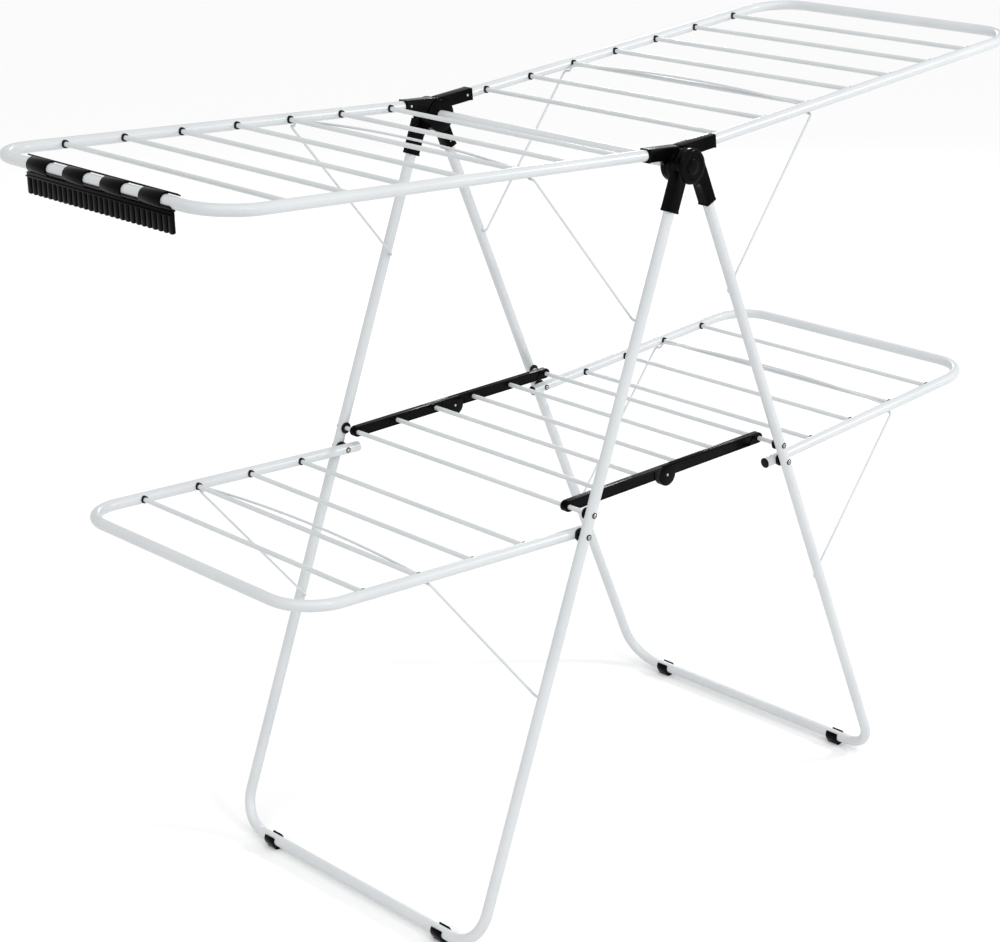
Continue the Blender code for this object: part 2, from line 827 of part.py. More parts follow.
def foot_clip(side, depth):
    """A clip on the floor bar, open at the top, with a flat sole."""
    name = f"foot_clip_{SIDE_NAMES[side]}_{DEPTH_NAMES[depth]}"
    centre = leg_point(side, leg_length())
    middle = depth * (LEG_PLANE - LEG_BEND_RADIUS - FOOT_INSET)
    low = middle - FOOT_LENGTH / 2
    high = middle + FOOT_LENGTH / 2
    radius = TUBE_RADIUS + FIT_GAP + FOOT_WALL
    clip = cylinder(
        name, (centre.x, low, centre.z), (centre.x, high, centre.z), radius, 24, BLACK_PLASTIC
    )
    sole = box(
        name + "_sole",
        (centre.x - FOOT_SOLE_WIDTH / 2, low + FIT_GAP, 0.0),
        (centre.x + FOOT_SOLE_WIDTH / 2, high - FIT_GAP, centre.z),
        None,
        HELPERS,
    )
    bore = cylinder(
        name + "_bore",
        (centre.x, low - CUT_PAST, centre.z),
        (centre.x, high + CUT_PAST, centre.z),
        TUBE_RADIUS + FIT_GAP,
        24,
        None,
        HELPERS,
    )
    slot = box(
        name + "_slot",
        (centre.x - FOOT_SLOT_WIDTH / 2, low - CUT_PAST, centre.z),
        (centre.x + FOOT_SLOT_WIDTH / 2, high + CUT_PAST, centre.z + radius + CUT_PAST),
        None,
        HELPERS,
    )
    combine(clip, sole, "UNION")
    combine(clip, bore, "DIFFERENCE")
    combine(clip, slot, "DIFFERENCE")
    return clip


# The sock clip bar on the upper left wing's end rail

def sock_clip_bar():
    centre = wing_point(LEFT, WING_REACH)
    low = SOCK_CENTRE_Y - SOCK_LENGTH / 2
    high = SOCK_CENTRE_Y + SOCK_LENGTH / 2
    inner = TUBE_RADIUS + FIT_GAP
    outer = inner + SOCK_WALL

    def around(angles, radius):
        return [
            (centre.x + radius * math.cos(math.radians(a)), centre.z + radius * math.sin(math.radians(a)))
            for a in angles
        ]

    # the plate hangs under the rail and carries the comb
    plate_x = centre.x - SOCK_PLATE_SHIFT
    plate_bottom = centre.z - outer - SOCK_PLATE_HEIGHT
    comb_bottom = plate_bottom - SOCK_TOOTH_LENGTH
    bar = box(
        "sock_clip_bar",
        (plate_x - SOCK_WALL / 2, low, comb_bottom),
        (plate_x + SOCK_WALL / 2, high, centre.z - outer + SOCK_PLATE_LAP),
        BLACK_PLASTIC,
    )
    pitch = SOCK_LENGTH / SOCK_TEETH
    slots = [
        box(
            "slot",
            (plate_x - SOCK_WALL, low + pitch * k - SOCK_TOOTH_GAP / 2, comb_bottom - CUT_PAST),
            (plate_x + SOCK_WALL, low + pitch * k + SOCK_TOOTH_GAP / 2, plate_bottom),
            None,
            HELPERS,
        )
        for k in range(1, SOCK_TEETH)
    ]
    combine(bar, join_helpers("sock_comb_slots", slots), "DIFFERENCE")
    sweep = [60.0 + 210.0 * k / 14 for k in range(15)]
    outline = around(sweep, outer) + around(reversed(sweep), inner)
    clip_pitch = (SOCK_LENGTH - SOCK_CLIP_LENGTH - SOCK_FREE_END) / (SOCK_CLIPS - 1)
    first = high - SOCK_CLIP_LENGTH
    for number in range(SOCK_CLIPS):
        clip_low = first - clip_pitch * number
        clip = plate(f"sock_clip_{number + 1}", outline, clip_low, clip_low + SOCK_CLIP_LENGTH)
        combine(bar, clip, "UNION")
    strip_x = centre.x + (outer - SOCK_STRIP_LAP) * math.cos(SOCK_STRIP_ANGLE)
    strip_z = centre.z + (outer - SOCK_STRIP_LAP) * math.sin(SOCK_STRIP_ANGLE)
    strip = box(
        "sock_strip",
        (strip_x, low, strip_z - SOCK_STRIP_THICKNESS / 2),
        (strip_x + SOCK_STRIP_WIDTH, high, strip_z + SOCK_STRIP_THICKNESS / 2),
        None,
        HELPERS,
    )
    combine(bar, strip, "UNION")
    set_origin(bar, centre)
    return bar


def build():
    for side in (LEFT, RIGHT):
        leg_frame(side)
        upper_wing(side)
        lower_wing(side)
        for depth in (NEAR, FAR):
            pivot_bolt(side, depth)
            shelf_bar(side, depth)
            foot_clip(side, depth)
    top_axle()
    hub()
    stays()
    shelf_rods()
    sock_clip_bar()


build()
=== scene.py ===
# Looks of the folding clothes drying rack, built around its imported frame.
# White powder-coated tubes and rods, glossy black fittings, bright screws, on a pale studio floor.
import json
import math

import bmesh
import bpy
from mathutils import Matrix, Vector

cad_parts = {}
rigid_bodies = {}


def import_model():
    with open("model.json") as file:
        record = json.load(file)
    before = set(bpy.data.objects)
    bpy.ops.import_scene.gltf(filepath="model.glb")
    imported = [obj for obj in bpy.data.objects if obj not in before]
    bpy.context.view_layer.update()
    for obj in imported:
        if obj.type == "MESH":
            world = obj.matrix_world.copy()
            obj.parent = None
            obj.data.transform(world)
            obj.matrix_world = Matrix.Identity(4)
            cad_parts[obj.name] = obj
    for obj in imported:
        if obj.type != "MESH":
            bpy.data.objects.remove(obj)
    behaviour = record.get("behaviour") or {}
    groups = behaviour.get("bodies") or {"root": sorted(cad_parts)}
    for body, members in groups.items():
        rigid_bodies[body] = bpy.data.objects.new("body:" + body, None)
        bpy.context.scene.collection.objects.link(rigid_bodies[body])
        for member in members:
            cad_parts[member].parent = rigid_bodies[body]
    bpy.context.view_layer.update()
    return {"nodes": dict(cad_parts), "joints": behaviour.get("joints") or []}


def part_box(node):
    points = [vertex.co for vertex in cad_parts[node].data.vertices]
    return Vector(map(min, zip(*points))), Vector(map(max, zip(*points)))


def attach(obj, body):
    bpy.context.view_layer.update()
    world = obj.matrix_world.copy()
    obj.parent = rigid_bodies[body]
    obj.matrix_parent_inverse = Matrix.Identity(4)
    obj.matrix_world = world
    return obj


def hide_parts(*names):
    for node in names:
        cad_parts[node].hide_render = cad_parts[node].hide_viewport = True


for leftover in list(bpy.data.objects):
    bpy.data.objects.remove(leftover, do_unlink=True)
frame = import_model()
joints = {joint["name"]: joint for joint in frame["joints"]}
sides = {"left": -1, "right": 1}
depths = {"near": -1, "far": 1}
print("frame loaded:", len(frame["nodes"]), "nodes")


# places read from the frame

def pivotOf(jointName):
    return Vector(joints[jointName]["pos_m"])


def middleOf(node):
    low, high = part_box(node)
    return (low + high) / 2


def flat(point, y=0.0):
    # the same point at another depth
    return Vector((point.x, y, point.z))


axlePoint = pivotOf("leg_fold")

tubes = {"radius": 0.0080, "sides": 28, "bendSteps": 14}


class Line:
    # a straight run of a frame: base is the point nearest to a pivot, along points away from it

    def __init__(self, pivot, first, last):
        self.along = (flat(last) - flat(first)).normalized()
        self.base = flat(first) + self.along * (flat(pivot) - flat(first)).dot(self.along)
        self.up = self.along.cross(Vector((0, 1, 0)))
        if self.up.z < 0:
            self.up = -self.up

    def at(self, distance, y=0.0, rise=0.0):
        return flat(self.base + self.along * distance + self.up * rise, y)

    def distanceTo(self, point):
        return (flat(point) - self.base).dot(self.along)


def railPlane(node):
    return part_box(node)[1].y - tubes["radius"]


def endReach(line, node, sign):
    # where the frame's cross tube lies on its line
    low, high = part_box(node)
    edge = high.x if sign > 0 else low.x
    return (edge - sign * tubes["radius"] - line.base.x) / line.along.x


upperLines, lowerLines, legLines = {}, {}, {}
for side in sides:
    upperLines[side] = Line(
        axlePoint, middleOf(f"upper_{side}_wing_rod_1"), middleOf(f"upper_{side}_wing_rod_7")
    )
    lowerLines[side] = Line(
        pivotOf(f"lower_{side}_wing_fold"),
        middleOf(f"lower_{side}_wing_rod_1"),
        middleOf(f"lower_{side}_wing_rod_4"),
    )
    legLines[side] = Line(
        axlePoint, pivotOf(f"upper_{side}_stay_swing"), pivotOf(f"lower_{side}_stay_swing")
    )
wingPlane = railPlane("upper_left_wing_frame")
legPlane = railPlane("left_leg_frame")


# materials

def newMaterial(name, colour, roughness, metallic=0.0):
    material = bpy.data.materials.new(name)
    material.use_nodes = True
    shader = material.node_tree.nodes["Principled BSDF"]
    shader.inputs["Base Color"].default_value = (*colour, 1.0)
    shader.inputs["Roughness"].default_value = roughness
    shader.inputs["Metallic"].default_value = metallic
    return material, material.node_tree, shader


def noiseOn(tree, scale, detail=2.0, stretch=(1.0, 1.0, 1.0)):
    place = tree.nodes.new("ShaderNodeTexCoord")
    mapping = tree.nodes.new("ShaderNodeMapping")
    mapping.inputs["Scale"].default_value = stretch
    noise = tree.nodes.new("ShaderNodeTexNoise")
    noise.inputs["Scale"].default_value = scale
    noise.inputs["Detail"].default_value = detail
    tree.links.new(place.outputs["Object"], mapping.inputs["Vector"])
    tree.links.new(mapping.outputs["Vector"], noise.inputs["Vector"])
    return noise.outputs["Fac"]


def spread(tree, value, low, high):
    # turns a 0..1 pattern into low..high
    spreadNode = tree.nodes.new("ShaderNodeMapRange")
    spreadNode.inputs["From Min"].default_value = 0.3
    spreadNode.inputs["From Max"].default_value = 0.7
    spreadNode.inputs["To Min"].default_value = low
    spreadNode.inputs["To Max"].default_value = high
    tree.links.new(value, spreadNode.inputs["Value"])
    return spreadNode.outputs["Result"]


def tint(tree, shader, value, dark, light):
    ramp = tree.nodes.new("ShaderNodeValToRGB")
    ramp.color_ramp.elements[0].position = 0.35
    ramp.color_ramp.elements[1].position = 0.65
    ramp.color_ramp.elements[0].color = (*dark, 1.0)
    ramp.color_ramp.elements[1].color = (*light, 1.0)
    tree.links.new(value, ramp.inputs["Fac"])
    tree.links.new(ramp.outputs["Color"], shader.inputs["Base Color"])


def relief(tree, shader, layers):
    # layers: (pattern, height in metres), one bump on top of the other
    normal = None
    for value, height in layers:
        bump = tree.nodes.new("ShaderNodeBump")
        bump.inputs["Strength"].default_value = 1.0
        bump.inputs["Distance"].default_value = height
        tree.links.new(value, bump.inputs["Height"])
        if normal is not None:
            tree.links.new(normal, bump.inputs["Normal"])
        normal = bump.outputs["Normal"]
    tree.links.new(normal, shader.inputs["Normal"])


coating = {
    "dark": (0.552, 0.578, 0.590), "light": (0.590, 0.612, 0.622), "gloss": (0.30, 0.42),
    "grain": 1400.0, "grainHeight": 0.000006, "ripple": 260.0, "rippleHeight": 0.000020,
}


def makeCoating():
    # powder coat: a fine orange peel over a slow ripple, with a hardly visible change of tone
    material, tree, shader = newMaterial("whitePowderCoat", coating["light"], 0.36)
    slow = noiseOn(tree, 9.0, 3.0)
    tint(tree, shader, slow, coating["dark"], coating["light"])
    ripple = noiseOn(tree, coating["ripple"], 1.0)
    grain = noiseOn(tree, coating["grain"], 2.0)
    tree.links.new(spread(tree, ripple, *coating["gloss"]), shader.inputs["Roughness"])
    relief(tree, shader, [(ripple, coating["rippleHeight"]), (grain, coating["grainHeight"])])
    shader.inputs["Coat Weight"].default_value = 0.25
    shader.inputs["Coat Roughness"].default_value = 0.18
    return material


moulding = {
    "dark": (0.0010, 0.0010, 0.0010), "light": (0.0022, 0.0022, 0.0023), "gloss": (0.10, 0.19),
    "texture": 900.0, "textureHeight": 0.000005, "flow": 60.0, "specular": 0.050,
}


def makeMoulding():
    # injection-moulded plastic: glossy, with faint flow marks and a fine mould texture
    material, tree, shader = newMaterial("blackMouldedPlastic", moulding["light"], 0.26)
    flow = noiseOn(tree, moulding["flow"], 4.0, (1.0, 0.35, 1.0))
    tint(tree, shader, flow, moulding["dark"], moulding["light"])
    tree.links.new(spread(tree, flow, *moulding["gloss"]), shader.inputs["Roughness"])
    relief(tree, shader, [(noiseOn(tree, moulding["texture"], 1.0), moulding["textureHeight"])])
    shader.inputs["Specular IOR Level"].default_value = moulding["specular"]
    return material


rubber = {"dark": (0.002, 0.002, 0.002), "light": (0.005, 0.005, 0.005), "gloss": (0.34, 0.52)}


def makeRubber():
    # the soft grommets, washers and plugs are duller than the mouldings
    material, tree, shader = newMaterial("softBlackPlastic", rubber["light"], 0.5)
    mottle = noiseOn(tree, 380.0, 3.0)
    tint(tree, shader, mottle, rubber["dark"], rubber["light"])
    tree.links.new(spread(tree, mottle, *rubber["gloss"]), shader.inputs["Roughness"])
    relief(tree, shader, [(mottle, 0.000015)])
    shader.inputs["Specular IOR Level"].default_value = 0.12
    return material


plating = {"dark": (0.30, 0.30, 0.30), "light": (0.55, 0.55, 0.54), "gloss": (0.16, 0.34)}


def makePlating():
    # zinc-plated screws, with faint tool marks
    material, tree, shader = newMaterial("platedSteel", plating["light"], 0.28, 1.0)
    marks = noiseOn(tree, 700.0, 2.0, (1.0, 1.0, 6.0))
    tint(tree, shader, marks, plating["dark"], plating["light"])
    tree.links.new(spread(tree, marks, *plating["gloss"]), shader.inputs["Roughness"])
    relief(tree, shader, [(marks, 0.000006)])
    return material


whiteCoat = makeCoating()
blackPlastic = makeMoulding()
softBlack = makeRubber()
brightSteel = makePlating()
print("materials made")


# node trees for what repeats or follows a path

def newTree(name, sockets):
    tree = bpy.data.node_groups.new(name, "GeometryNodeTree")
    tree.interface.new_socket(name="Geometry", in_out="INPUT", socket_type="NodeSocketGeometry")
    tree.interface.new_socket(name="Geometry", in_out="OUTPUT", socket_type="NodeSocketGeometry")
    for socketName, kind in sockets:
        tree.interface.new_socket(name=socketName, in_out="INPUT", socket_type="NodeSocket" + kind)
    return tree, tree.nodes.new("NodeGroupInput"), tree.nodes.new("NodeGroupOutput")


def put(tree, kind, feeds=(), settings=()):
    # adds a node; feeds are (input name, a socket or a fixed value)
    node = tree.nodes.new(kind)
    for key, value in settings:
        setattr(node, key, value)
    for inputName, source in feeds:
        socket = node.inputs[inputName]
        if isinstance(source, bpy.types.NodeSocket):
            tree.links.new(source, socket)
        else:
            socket.default_value = source
    return node


def close(tree, output, shape, material, smooth=True):
    # every tree ends in real faces with their material
    shaded = put(tree, "GeometryNodeSetShadeSmooth", [("Geometry", shape), ("Shade Smooth", smooth)])
    solid = put(tree, "GeometryNodeRealizeInstances", [("Geometry", shaded.outputs[0])])
    painted = put(
        tree, "GeometryNodeSetMaterial", [("Geometry", solid.outputs[0]), ("Material", material)]
    )
    tree.links.new(painted.outputs[0], output.inputs[0])


def bentTubeTree():
    # a round bar along a corner-to-corner path, its corners rounded to one bend radius
    tree, given, output = newTree("bentTube", [
        ("Radius", "Float"), ("Bend Radius", "Float"), ("Sides", "Int"), ("Bend Steps", "Int"),
        ("Material", "Material"),
    ])
    path = put(tree, "GeometryNodeMeshToCurve", [("Mesh", given.outputs["Geometry"])])
    bent = put(
        tree,
        "GeometryNodeFilletCurve",
        [
            ("Curve", path.outputs[0]), ("Count", given.outputs["Bend Steps"]),
            ("Radius", given.outputs["Bend Radius"]), ("Limit Radius", True),
        ],
        [("mode", "POLY")],
    )
    section = put(tree, "GeometryNodeCurvePrimitiveCircle", [
        ("Resolution", given.outputs["Sides"]), ("Radius", given.outputs["Radius"]),
    ])
    bar = put(tree, "GeometryNodeCurveToMesh", [
        ("Curve", bent.outputs[0]), ("Profile Curve", section.outputs[0]), ("Fill Caps", True),
    ])
    close(tree, output, bar.outputs[0], given.outputs["Material"])
    return tree


def rodRowTree():
    # rods across a wing: one bar, repeated from the first rod at a fixed step
    tree, given, output = newTree("rodRow", [
        ("Count", "Int"), ("First", "Vector"), ("Step", "Vector"), ("Length", "Float"),
        ("Radius", "Float"), ("Sides", "Int"), ("Material", "Material"),
    ])
    row = put(tree, "GeometryNodeMeshLine", [
        ("Count", given.outputs["Count"]), ("Start Location", given.outputs["First"]),
        ("Offset", given.outputs["Step"]),
    ])
    bar = put(tree, "GeometryNodeMeshCylinder", [
        ("Vertices", given.outputs["Sides"]), ("Radius", given.outputs["Radius"]),
        ("Depth", given.outputs["Length"]),
    ])
    laid = put(tree, "GeometryNodeInstanceOnPoints", [
        ("Points", row.outputs[0]), ("Instance", bar.outputs[0]),
        ("Rotation", (math.radians(90), 0.0, 0.0)),
    ])
    close(tree, output, laid.outputs[0], given.outputs["Material"])
    return tree


def scatterTree():
    # one small fitting at each point of the mesh, its own +Y turned to the point's "facing"
    tree, given, output = newTree("fittingAtPoints", [("Fitting", "Object"), ("Material", "Material")])
    facing = put(
        tree, "GeometryNodeInputNamedAttribute", [("Name", "facing")], [("data_type", "FLOAT_VECTOR")]
    )
    turned = put(
        tree, "FunctionNodeAlignRotationToVector", [("Vector", facing.outputs["Attribute"])],
        [("axis", "Y")],
    )
    fitting = put(tree, "GeometryNodeObjectInfo", [("Object", given.outputs["Fitting"])])
    laid = put(tree, "GeometryNodeInstanceOnPoints", [
        ("Points", given.outputs["Geometry"]), ("Instance", fitting.outputs["Geometry"]),
        ("Rotation", turned.outputs[0]),
    ])
    close(tree, output, laid.outputs[0], given.outputs["Material"])
    return tree


def combTree():
    # fingers and tube clips repeated along the sock bar's spine
    tree, given, output = newTree("sockComb", [
        ("Finger", "Object"), ("Finger Count", "Int"), ("Finger Start", "Vector"),
        ("Finger Step", "Vector"), ("Clip", "Object"), ("Clip Count", "Int"),
        ("Clip Start", "Vector"), ("Clip Step", "Vector"), ("Material", "Material"),
    ])
    rows = []
    for part in ("Finger", "Clip"):
        row = put(tree, "GeometryNodeMeshLine", [
            ("Count", given.outputs[part + " Count"]),
            ("Start Location", given.outputs[part + " Start"]),
            ("Offset", given.outputs[part + " Step"]),
        ])
        shape = put(tree, "GeometryNodeObjectInfo", [("Object", given.outputs[part])])
        rows.append(put(tree, "GeometryNodeInstanceOnPoints", [
            ("Points", row.outputs[0]), ("Instance", shape.outputs["Geometry"]),
        ]))
    joined = put(tree, "GeometryNodeJoinGeometry")
    for row in rows:
        tree.links.new(row.outputs[0], joined.inputs[0])
    tree.links.new(given.outputs["Geometry"], joined.inputs[0])
    close(tree, output, joined.outputs[0], given.outputs["Material"])
    return tree


def grow(name, seedMesh, tree, values):
    # runs a tree on a seed mesh and keeps the result as a plain, tidied mesh
    seed = bpy.data.objects.new(name + "Seed", seedMesh)
    bpy.context.scene.collection.objects.link(seed)
    modifier = seed.modifiers.new("grow", "NODES")
    modifier.node_group = tree
    for item in tree.interface.items_tree:
        if item.in_out == "INPUT" and item.name in values:
            modifier[item.identifier] = values[item.name]
    bpy.context.view_layer.update()
    graph = bpy.context.evaluated_depsgraph_get()
    mesh = bpy.data.meshes.new_from_object(seed.evaluated_get(graph))
    seed.modifiers.remove(modifier)
    bpy.data.objects.remove(seed, do_unlink=True)
    tidyMesh(mesh)
    return addPiece(name, mesh)


# mesh helpers

def addPiece(name, mesh):
    mesh.name = name
    piece = bpy.data.objects.new(name, mesh)
    bpy.context.scene.collection.objects.link(piece)
    return piece


def pathMesh(points):
    mesh = bpy.data.meshes.new("path")
    mesh.from_pydata([tuple(p) for p in points], [(i, i + 1) for i in range(len(points) - 1)], [])
    return mesh


def pointMesh(spots):
    # spots: (place, facing)
    mesh = bpy.data.meshes.new("spots")
    mesh.from_pydata([tuple(place) for place, _ in spots], [], [])
    facing = mesh.attributes.new("facing", "FLOAT_VECTOR", "POINT")
    for item, (_, direction) in zip(facing.data, spots):
        item.vector = direction
    return mesh


def tidyMesh(mesh, angle=35.0, merge=0.000002):
    # closes seams, turns faces outwards and keeps edges over the angle crisp
    work = bmesh.new()
    work.from_mesh(mesh)
    bmesh.ops.remove_doubles(work, verts=work.verts, dist=merge)
    bmesh.ops.recalc_face_normals(work, faces=work.faces)
    work.to_mesh(mesh)
    work.free()
    mesh.shade_smooth()
    mesh.set_sharp_from_angle(angle=math.radians(angle))


def roundedBox(name, low, high, radius, segments=3):
    work = bmesh.new()
    bmesh.ops.create_cube(work, size=1.0)
    low, high = Vector(low), Vector(high)
    bmesh.ops.scale(work, vec=high - low, verts=work.verts)
    bmesh.ops.translate(work, vec=(low + high) / 2, verts=work.verts)
    bmesh.ops.bevel(
        work, geom=work.edges[:], offset=radius, segments=segments, profile=0.5, affect="EDGES"
    )
    mesh = bpy.data.meshes.new(name)
    work.to_mesh(mesh)
    work.free()
    return mesh


def turnedMesh(name, outline, segments):
    # outline: (radius, y) points, turned about the Y axis
    work = bmesh.new()
    spots = [work.verts.new((radius, y, 0.0)) for radius, y in outline]
    edges = [work.edges.new((a, b)) for a, b in zip(spots, spots[1:])]
    if outline[0][0] > 0:
        edges.append(work.edges.new((spots[-1], spots[0])))
    bmesh.ops.spin(
        work, geom=spots + edges, cent=(0, 0, 0), axis=(0, 1, 0), angle=math.tau, steps=segments,
        use_merge=True,
    )
    bmesh.ops.remove_doubles(work, verts=work.verts, dist=0.000002)
    bmesh.ops.recalc_face_normals(work, faces=work.faces)
    mesh = bpy.data.meshes.new(name)
    work.to_mesh(mesh)
    work.free()
    return mesh


def slabMesh(name, outline, low, high, bevel=0.0):
    # a flat piece: (x, z) outline between two depths, with softened edges
    work = bmesh.new()
    face = work.faces.new([work.verts.new((x, low, z)) for x, z in outline])
    walls = bmesh.ops.extrude_face_region(work, geom=[face])
    raised = [item for item in walls["geom"] if isinstance(item, bmesh.types.BMVert)]
    bmesh.ops.translate(work, vec=(0, high - low, 0), verts=raised)
    bmesh.ops.recalc_face_normals(work, faces=work.faces)
    if bevel > 0:
        rims = [edge for edge in work.edges if edge.calc_face_angle(0.0) > math.radians(50)]
        bmesh.ops.bevel(work, geom=rims, offset=bevel, segments=2, profile=0.5, affect="EDGES")
    mesh = bpy.data.meshes.new(name)
    work.to_mesh(mesh)
    work.free()
    return mesh


def roundEdges(mesh, width, angle=50.0, segments=3):
    # rounds the edges over an angle; a Bevel modifier keeps narrow places whole
    holder = bpy.data.objects.new("holder", mesh)
    bpy.context.scene.collection.objects.link(holder)
    rounding = holder.modifiers.new("rounding", "BEVEL")
    rounding.width = width
    rounding.segments = segments
    rounding.limit_method = "ANGLE"
    rounding.angle_limit = math.radians(angle)
    bpy.context.view_layer.update()
    graph = bpy.context.evaluated_depsgraph_get()
    result = bpy.data.meshes.new_from_object(holder.evaluated_get(graph))
    bpy.data.objects.remove(holder, do_unlink=True)
    return result


def arc(centre, radius, start, end, steps):
    spots = []
    for k in range(steps + 1):
        angle = math.radians(start + (end - start) * k / steps)
        spots.append((centre[0] + radius * math.cos(angle), centre[1] + radius * math.sin(angle)))
    return spots


def carve(name, base, additions=(), cuts=()):
    # joins and cuts plain meshes into one solid
    def helper(mesh):
        tool = bpy.data.objects.new("tool", mesh)
        bpy.context.scene.collection.objects.link(tool)
        return tool

    target = helper(base)
    tools = []
    for group, operation in ((additions, "UNION"), (cuts, "DIFFERENCE")):
        for mesh in group:
            tool = helper(mesh)
            tools.append(tool)
            step = target.modifiers.new(operation, "BOOLEAN")
            step.operation = operation
            step.solver = "EXACT"
            step.object = tool
    bpy.context.view_layer.update()
    graph = bpy.context.evaluated_depsgraph_get()
    result = bpy.data.meshes.new_from_object(target.evaluated_get(graph))
    for tool in tools + [target]:
        bpy.data.objects.remove(tool, do_unlink=True)
    result.name = name
    return result


def dress(piece, body, material=None, stands=()):
    # gives a piece its material and its body, and hides the nodes it stands for
    if material is not None:
        piece.data.materials.clear()
        piece.data.materials.append(material)
    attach(piece, body)
    if stands:
        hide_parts(*stands)
    return piece


fittingAtPoints = scatterTree()
finishes = {"black_plastic": softBlack, "bright_steel": brightSteel}


def scatter(name, body, slot, pattern, spots, stands=(), material=None):
    # one small fitting laid at each spot
    fitting = addPiece("pattern", pattern)
    piece = grow(name, pointMesh(spots), fittingAtPoints, {
        "Fitting": fitting, "Material": material or finishes[slot],
    })
    bpy.data.objects.remove(fitting, do_unlink=True)
    return dress(piece, body, stands=stands)


def bothSides(place, reach, inward=False):
    # one spot at each depth, facing out of the rack or into it
    turn = -1 if inward else 1
    return [(flat(place, sign * reach), (0, sign * turn, 0)) for sign in depths.values()]


# frame tubes

bentTube = bentTubeTree()
frames = {
    "upperBend": 0.066, "lowerBend": 0.064, "legBend": 0.054,
    "sleeveStart": 0.0320,  # where a tube end sits inside its hub sleeve
}


def makeFrame(body, line, start, reach, plane, bend):
    # out along one rail, across, and back along the other
    corners = [(start, -plane), (reach, -plane), (reach, plane), (start, plane)]
    piece = grow(body + "_tube", pathMesh([line.at(*corner) for corner in corners]), bentTube, {
        "Radius": tubes["radius"], "Bend Radius": bend, "Sides": tubes["sides"],
        "Bend Steps": tubes["bendSteps"], "Material": whiteCoat,
    })
    dress(piece, body, stands=[body + "_frame"])


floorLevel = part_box("left_leg_frame")[0].z + tubes["radius"]
upperReach = upperLines["left"].distanceTo(pivotOf("sock_bar_swivel"))
legReaches, lowerReaches = {}, {}
for side, sign in sides.items():
    legReaches[side] = (floorLevel - legLines[side].base.z) / legLines[side].along.z
    lowerReaches[side] = endReach(lowerLines[side], f"lower_{side}_wing_frame", sign)
tailStart = lowerLines["right"].distanceTo(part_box("lower_right_wing_frame")[0])
for side in sides:
    makeFrame(f"{side}_leg", legLines[side], frames["sleeveStart"], legReaches[side], legPlane,
              frames["legBend"])
    makeFrame(f"upper_{side}_wing", upperLines[side], frames["sleeveStart"], upperReach, wingPlane,
              frames["upperBend"])
    makeFrame(f"lower_{side}_wing", lowerLines[side], tailStart, lowerReaches[side], wingPlane,
              frames["lowerBend"])
print("frame tubes bent")


# rods and their grommets

rodRow = rodRowTree()
rods = {"radius": 0.0035, "sides": 18, "endInRail": 0.0030}
grommets = {"hole": 0.0034, "outer": 0.0056, "stands": 0.0022, "sunk": 0.0026, "segments": 16}


def grommetMesh():
    # a collar with a rounded lip, its +Y towards the middle of the rack
    hole, outer = grommets["hole"], grommets["outer"]
    top, low = grommets["stands"], -grommets["sunk"]
    lip = 0.0009
    rim = [(hole, top), (outer - lip, top)] + [
        (outer - lip + lip * math.sin(math.radians(a)), top - lip + lip * math.cos(math.radians(a)))
        for a in (30, 60, 90)
    ]
    return turnedMesh("grommet", rim + [(outer, low), (hole, low)], grommets["segments"])


def rodPlaces(wing, count):
    return [middleOf(f"{wing}_rod_{k}") for k in range(1, count + 1)]


for level, count in (("upper", 7), ("lower", 4)):
    for side in sides:
        wing = f"{level}_{side}_wing"
        places = rodPlaces(wing, count)
        half = wingPlane - tubes["radius"] + rods["endInRail"]
        row = grow(wing + "_rods", pathMesh([places[0], places[-1]]), rodRow, {
            "Count": count, "First": places[0], "Step": (places[-1] - places[0]) / (count - 1),
            "Length": 2 * half, "Radius": rods["radius"], "Sides": rods["sides"], "Material": whiteCoat,
        })
        dress(row, wing, stands=[f"{wing}_rod_{k}" for k in range(1, count + 1)])
        inner = wingPlane - tubes["radius"]
        spots = [spot for place in places for spot in bothSides(place, inner, inward=True)]
        scatter(wing + "_grommets", wing, "black_plastic", grommetMesh(), spots)
print("rods and grommets laid")


# stays

stays = {
    "radius": 0.0018, "sides": 14, "bendSteps": 5, "bend": 0.0050,
    "plane": 0.2560, "tail": 0.0040, "kneeDrop": 0.0110, "kneeInboard": 0.0090,
    "turnIn": 0.2405, "bow": 0.0100, "rodInboard": 0.0058, "bowSteps": 14,
}


def stayPath(hole, line, rodPlace):
    # hooked in the leg, straight to a knee under the rail, then along the rod in a shallow bow
    rodAlong = line.distanceTo(rodPlace)
    knee = line.at(rodAlong - stays["kneeInboard"], 0.0, -stays["kneeDrop"])
    rise = line.at(rodAlong - stays["rodInboard"], 0.0, -0.0015)
    hook = legPlane - tubes["radius"] + stays["tail"]
    half = [flat(hole, hook), flat(hole, stays["plane"]), flat(knee, stays["plane"])]
    half += [flat(knee, stays["turnIn"] + 0.006), flat(rise, stays["turnIn"])]
    span = []
    for k in range(1, stays["bowSteps"]):
        share = k / stays["bowSteps"]
        y = stays["turnIn"] * (2 * share - 1)
        lift = stays["bow"] * (1 - (2 * share - 1) ** 2)
        span.append(flat(rise + line.up * lift, y))
    return [Vector((p.x, -p.y, p.z)) for p in half] + span + list(reversed(half))


for level, lines in (("upper", upperLines), ("lower", lowerLines)):
    for side in sides:
        name = f"{level}_{side}_stay"
        hole = pivotOf(name + "_swing")
        corners = stayPath(hole, lines[side], middleOf(f"{level}_{side}_wing_rod_3"))
        stay = grow(name + "_wire", pathMesh(corners), bentTube, {
            "Radius": stays["radius"], "Bend Radius": stays["bend"], "Sides": stays["sides"],
            "Bend Steps": stays["bendSteps"], "Material": whiteCoat,
        })
        dress(stay, name, stands=[name])
print("stays bent")


# axle and hub connectors

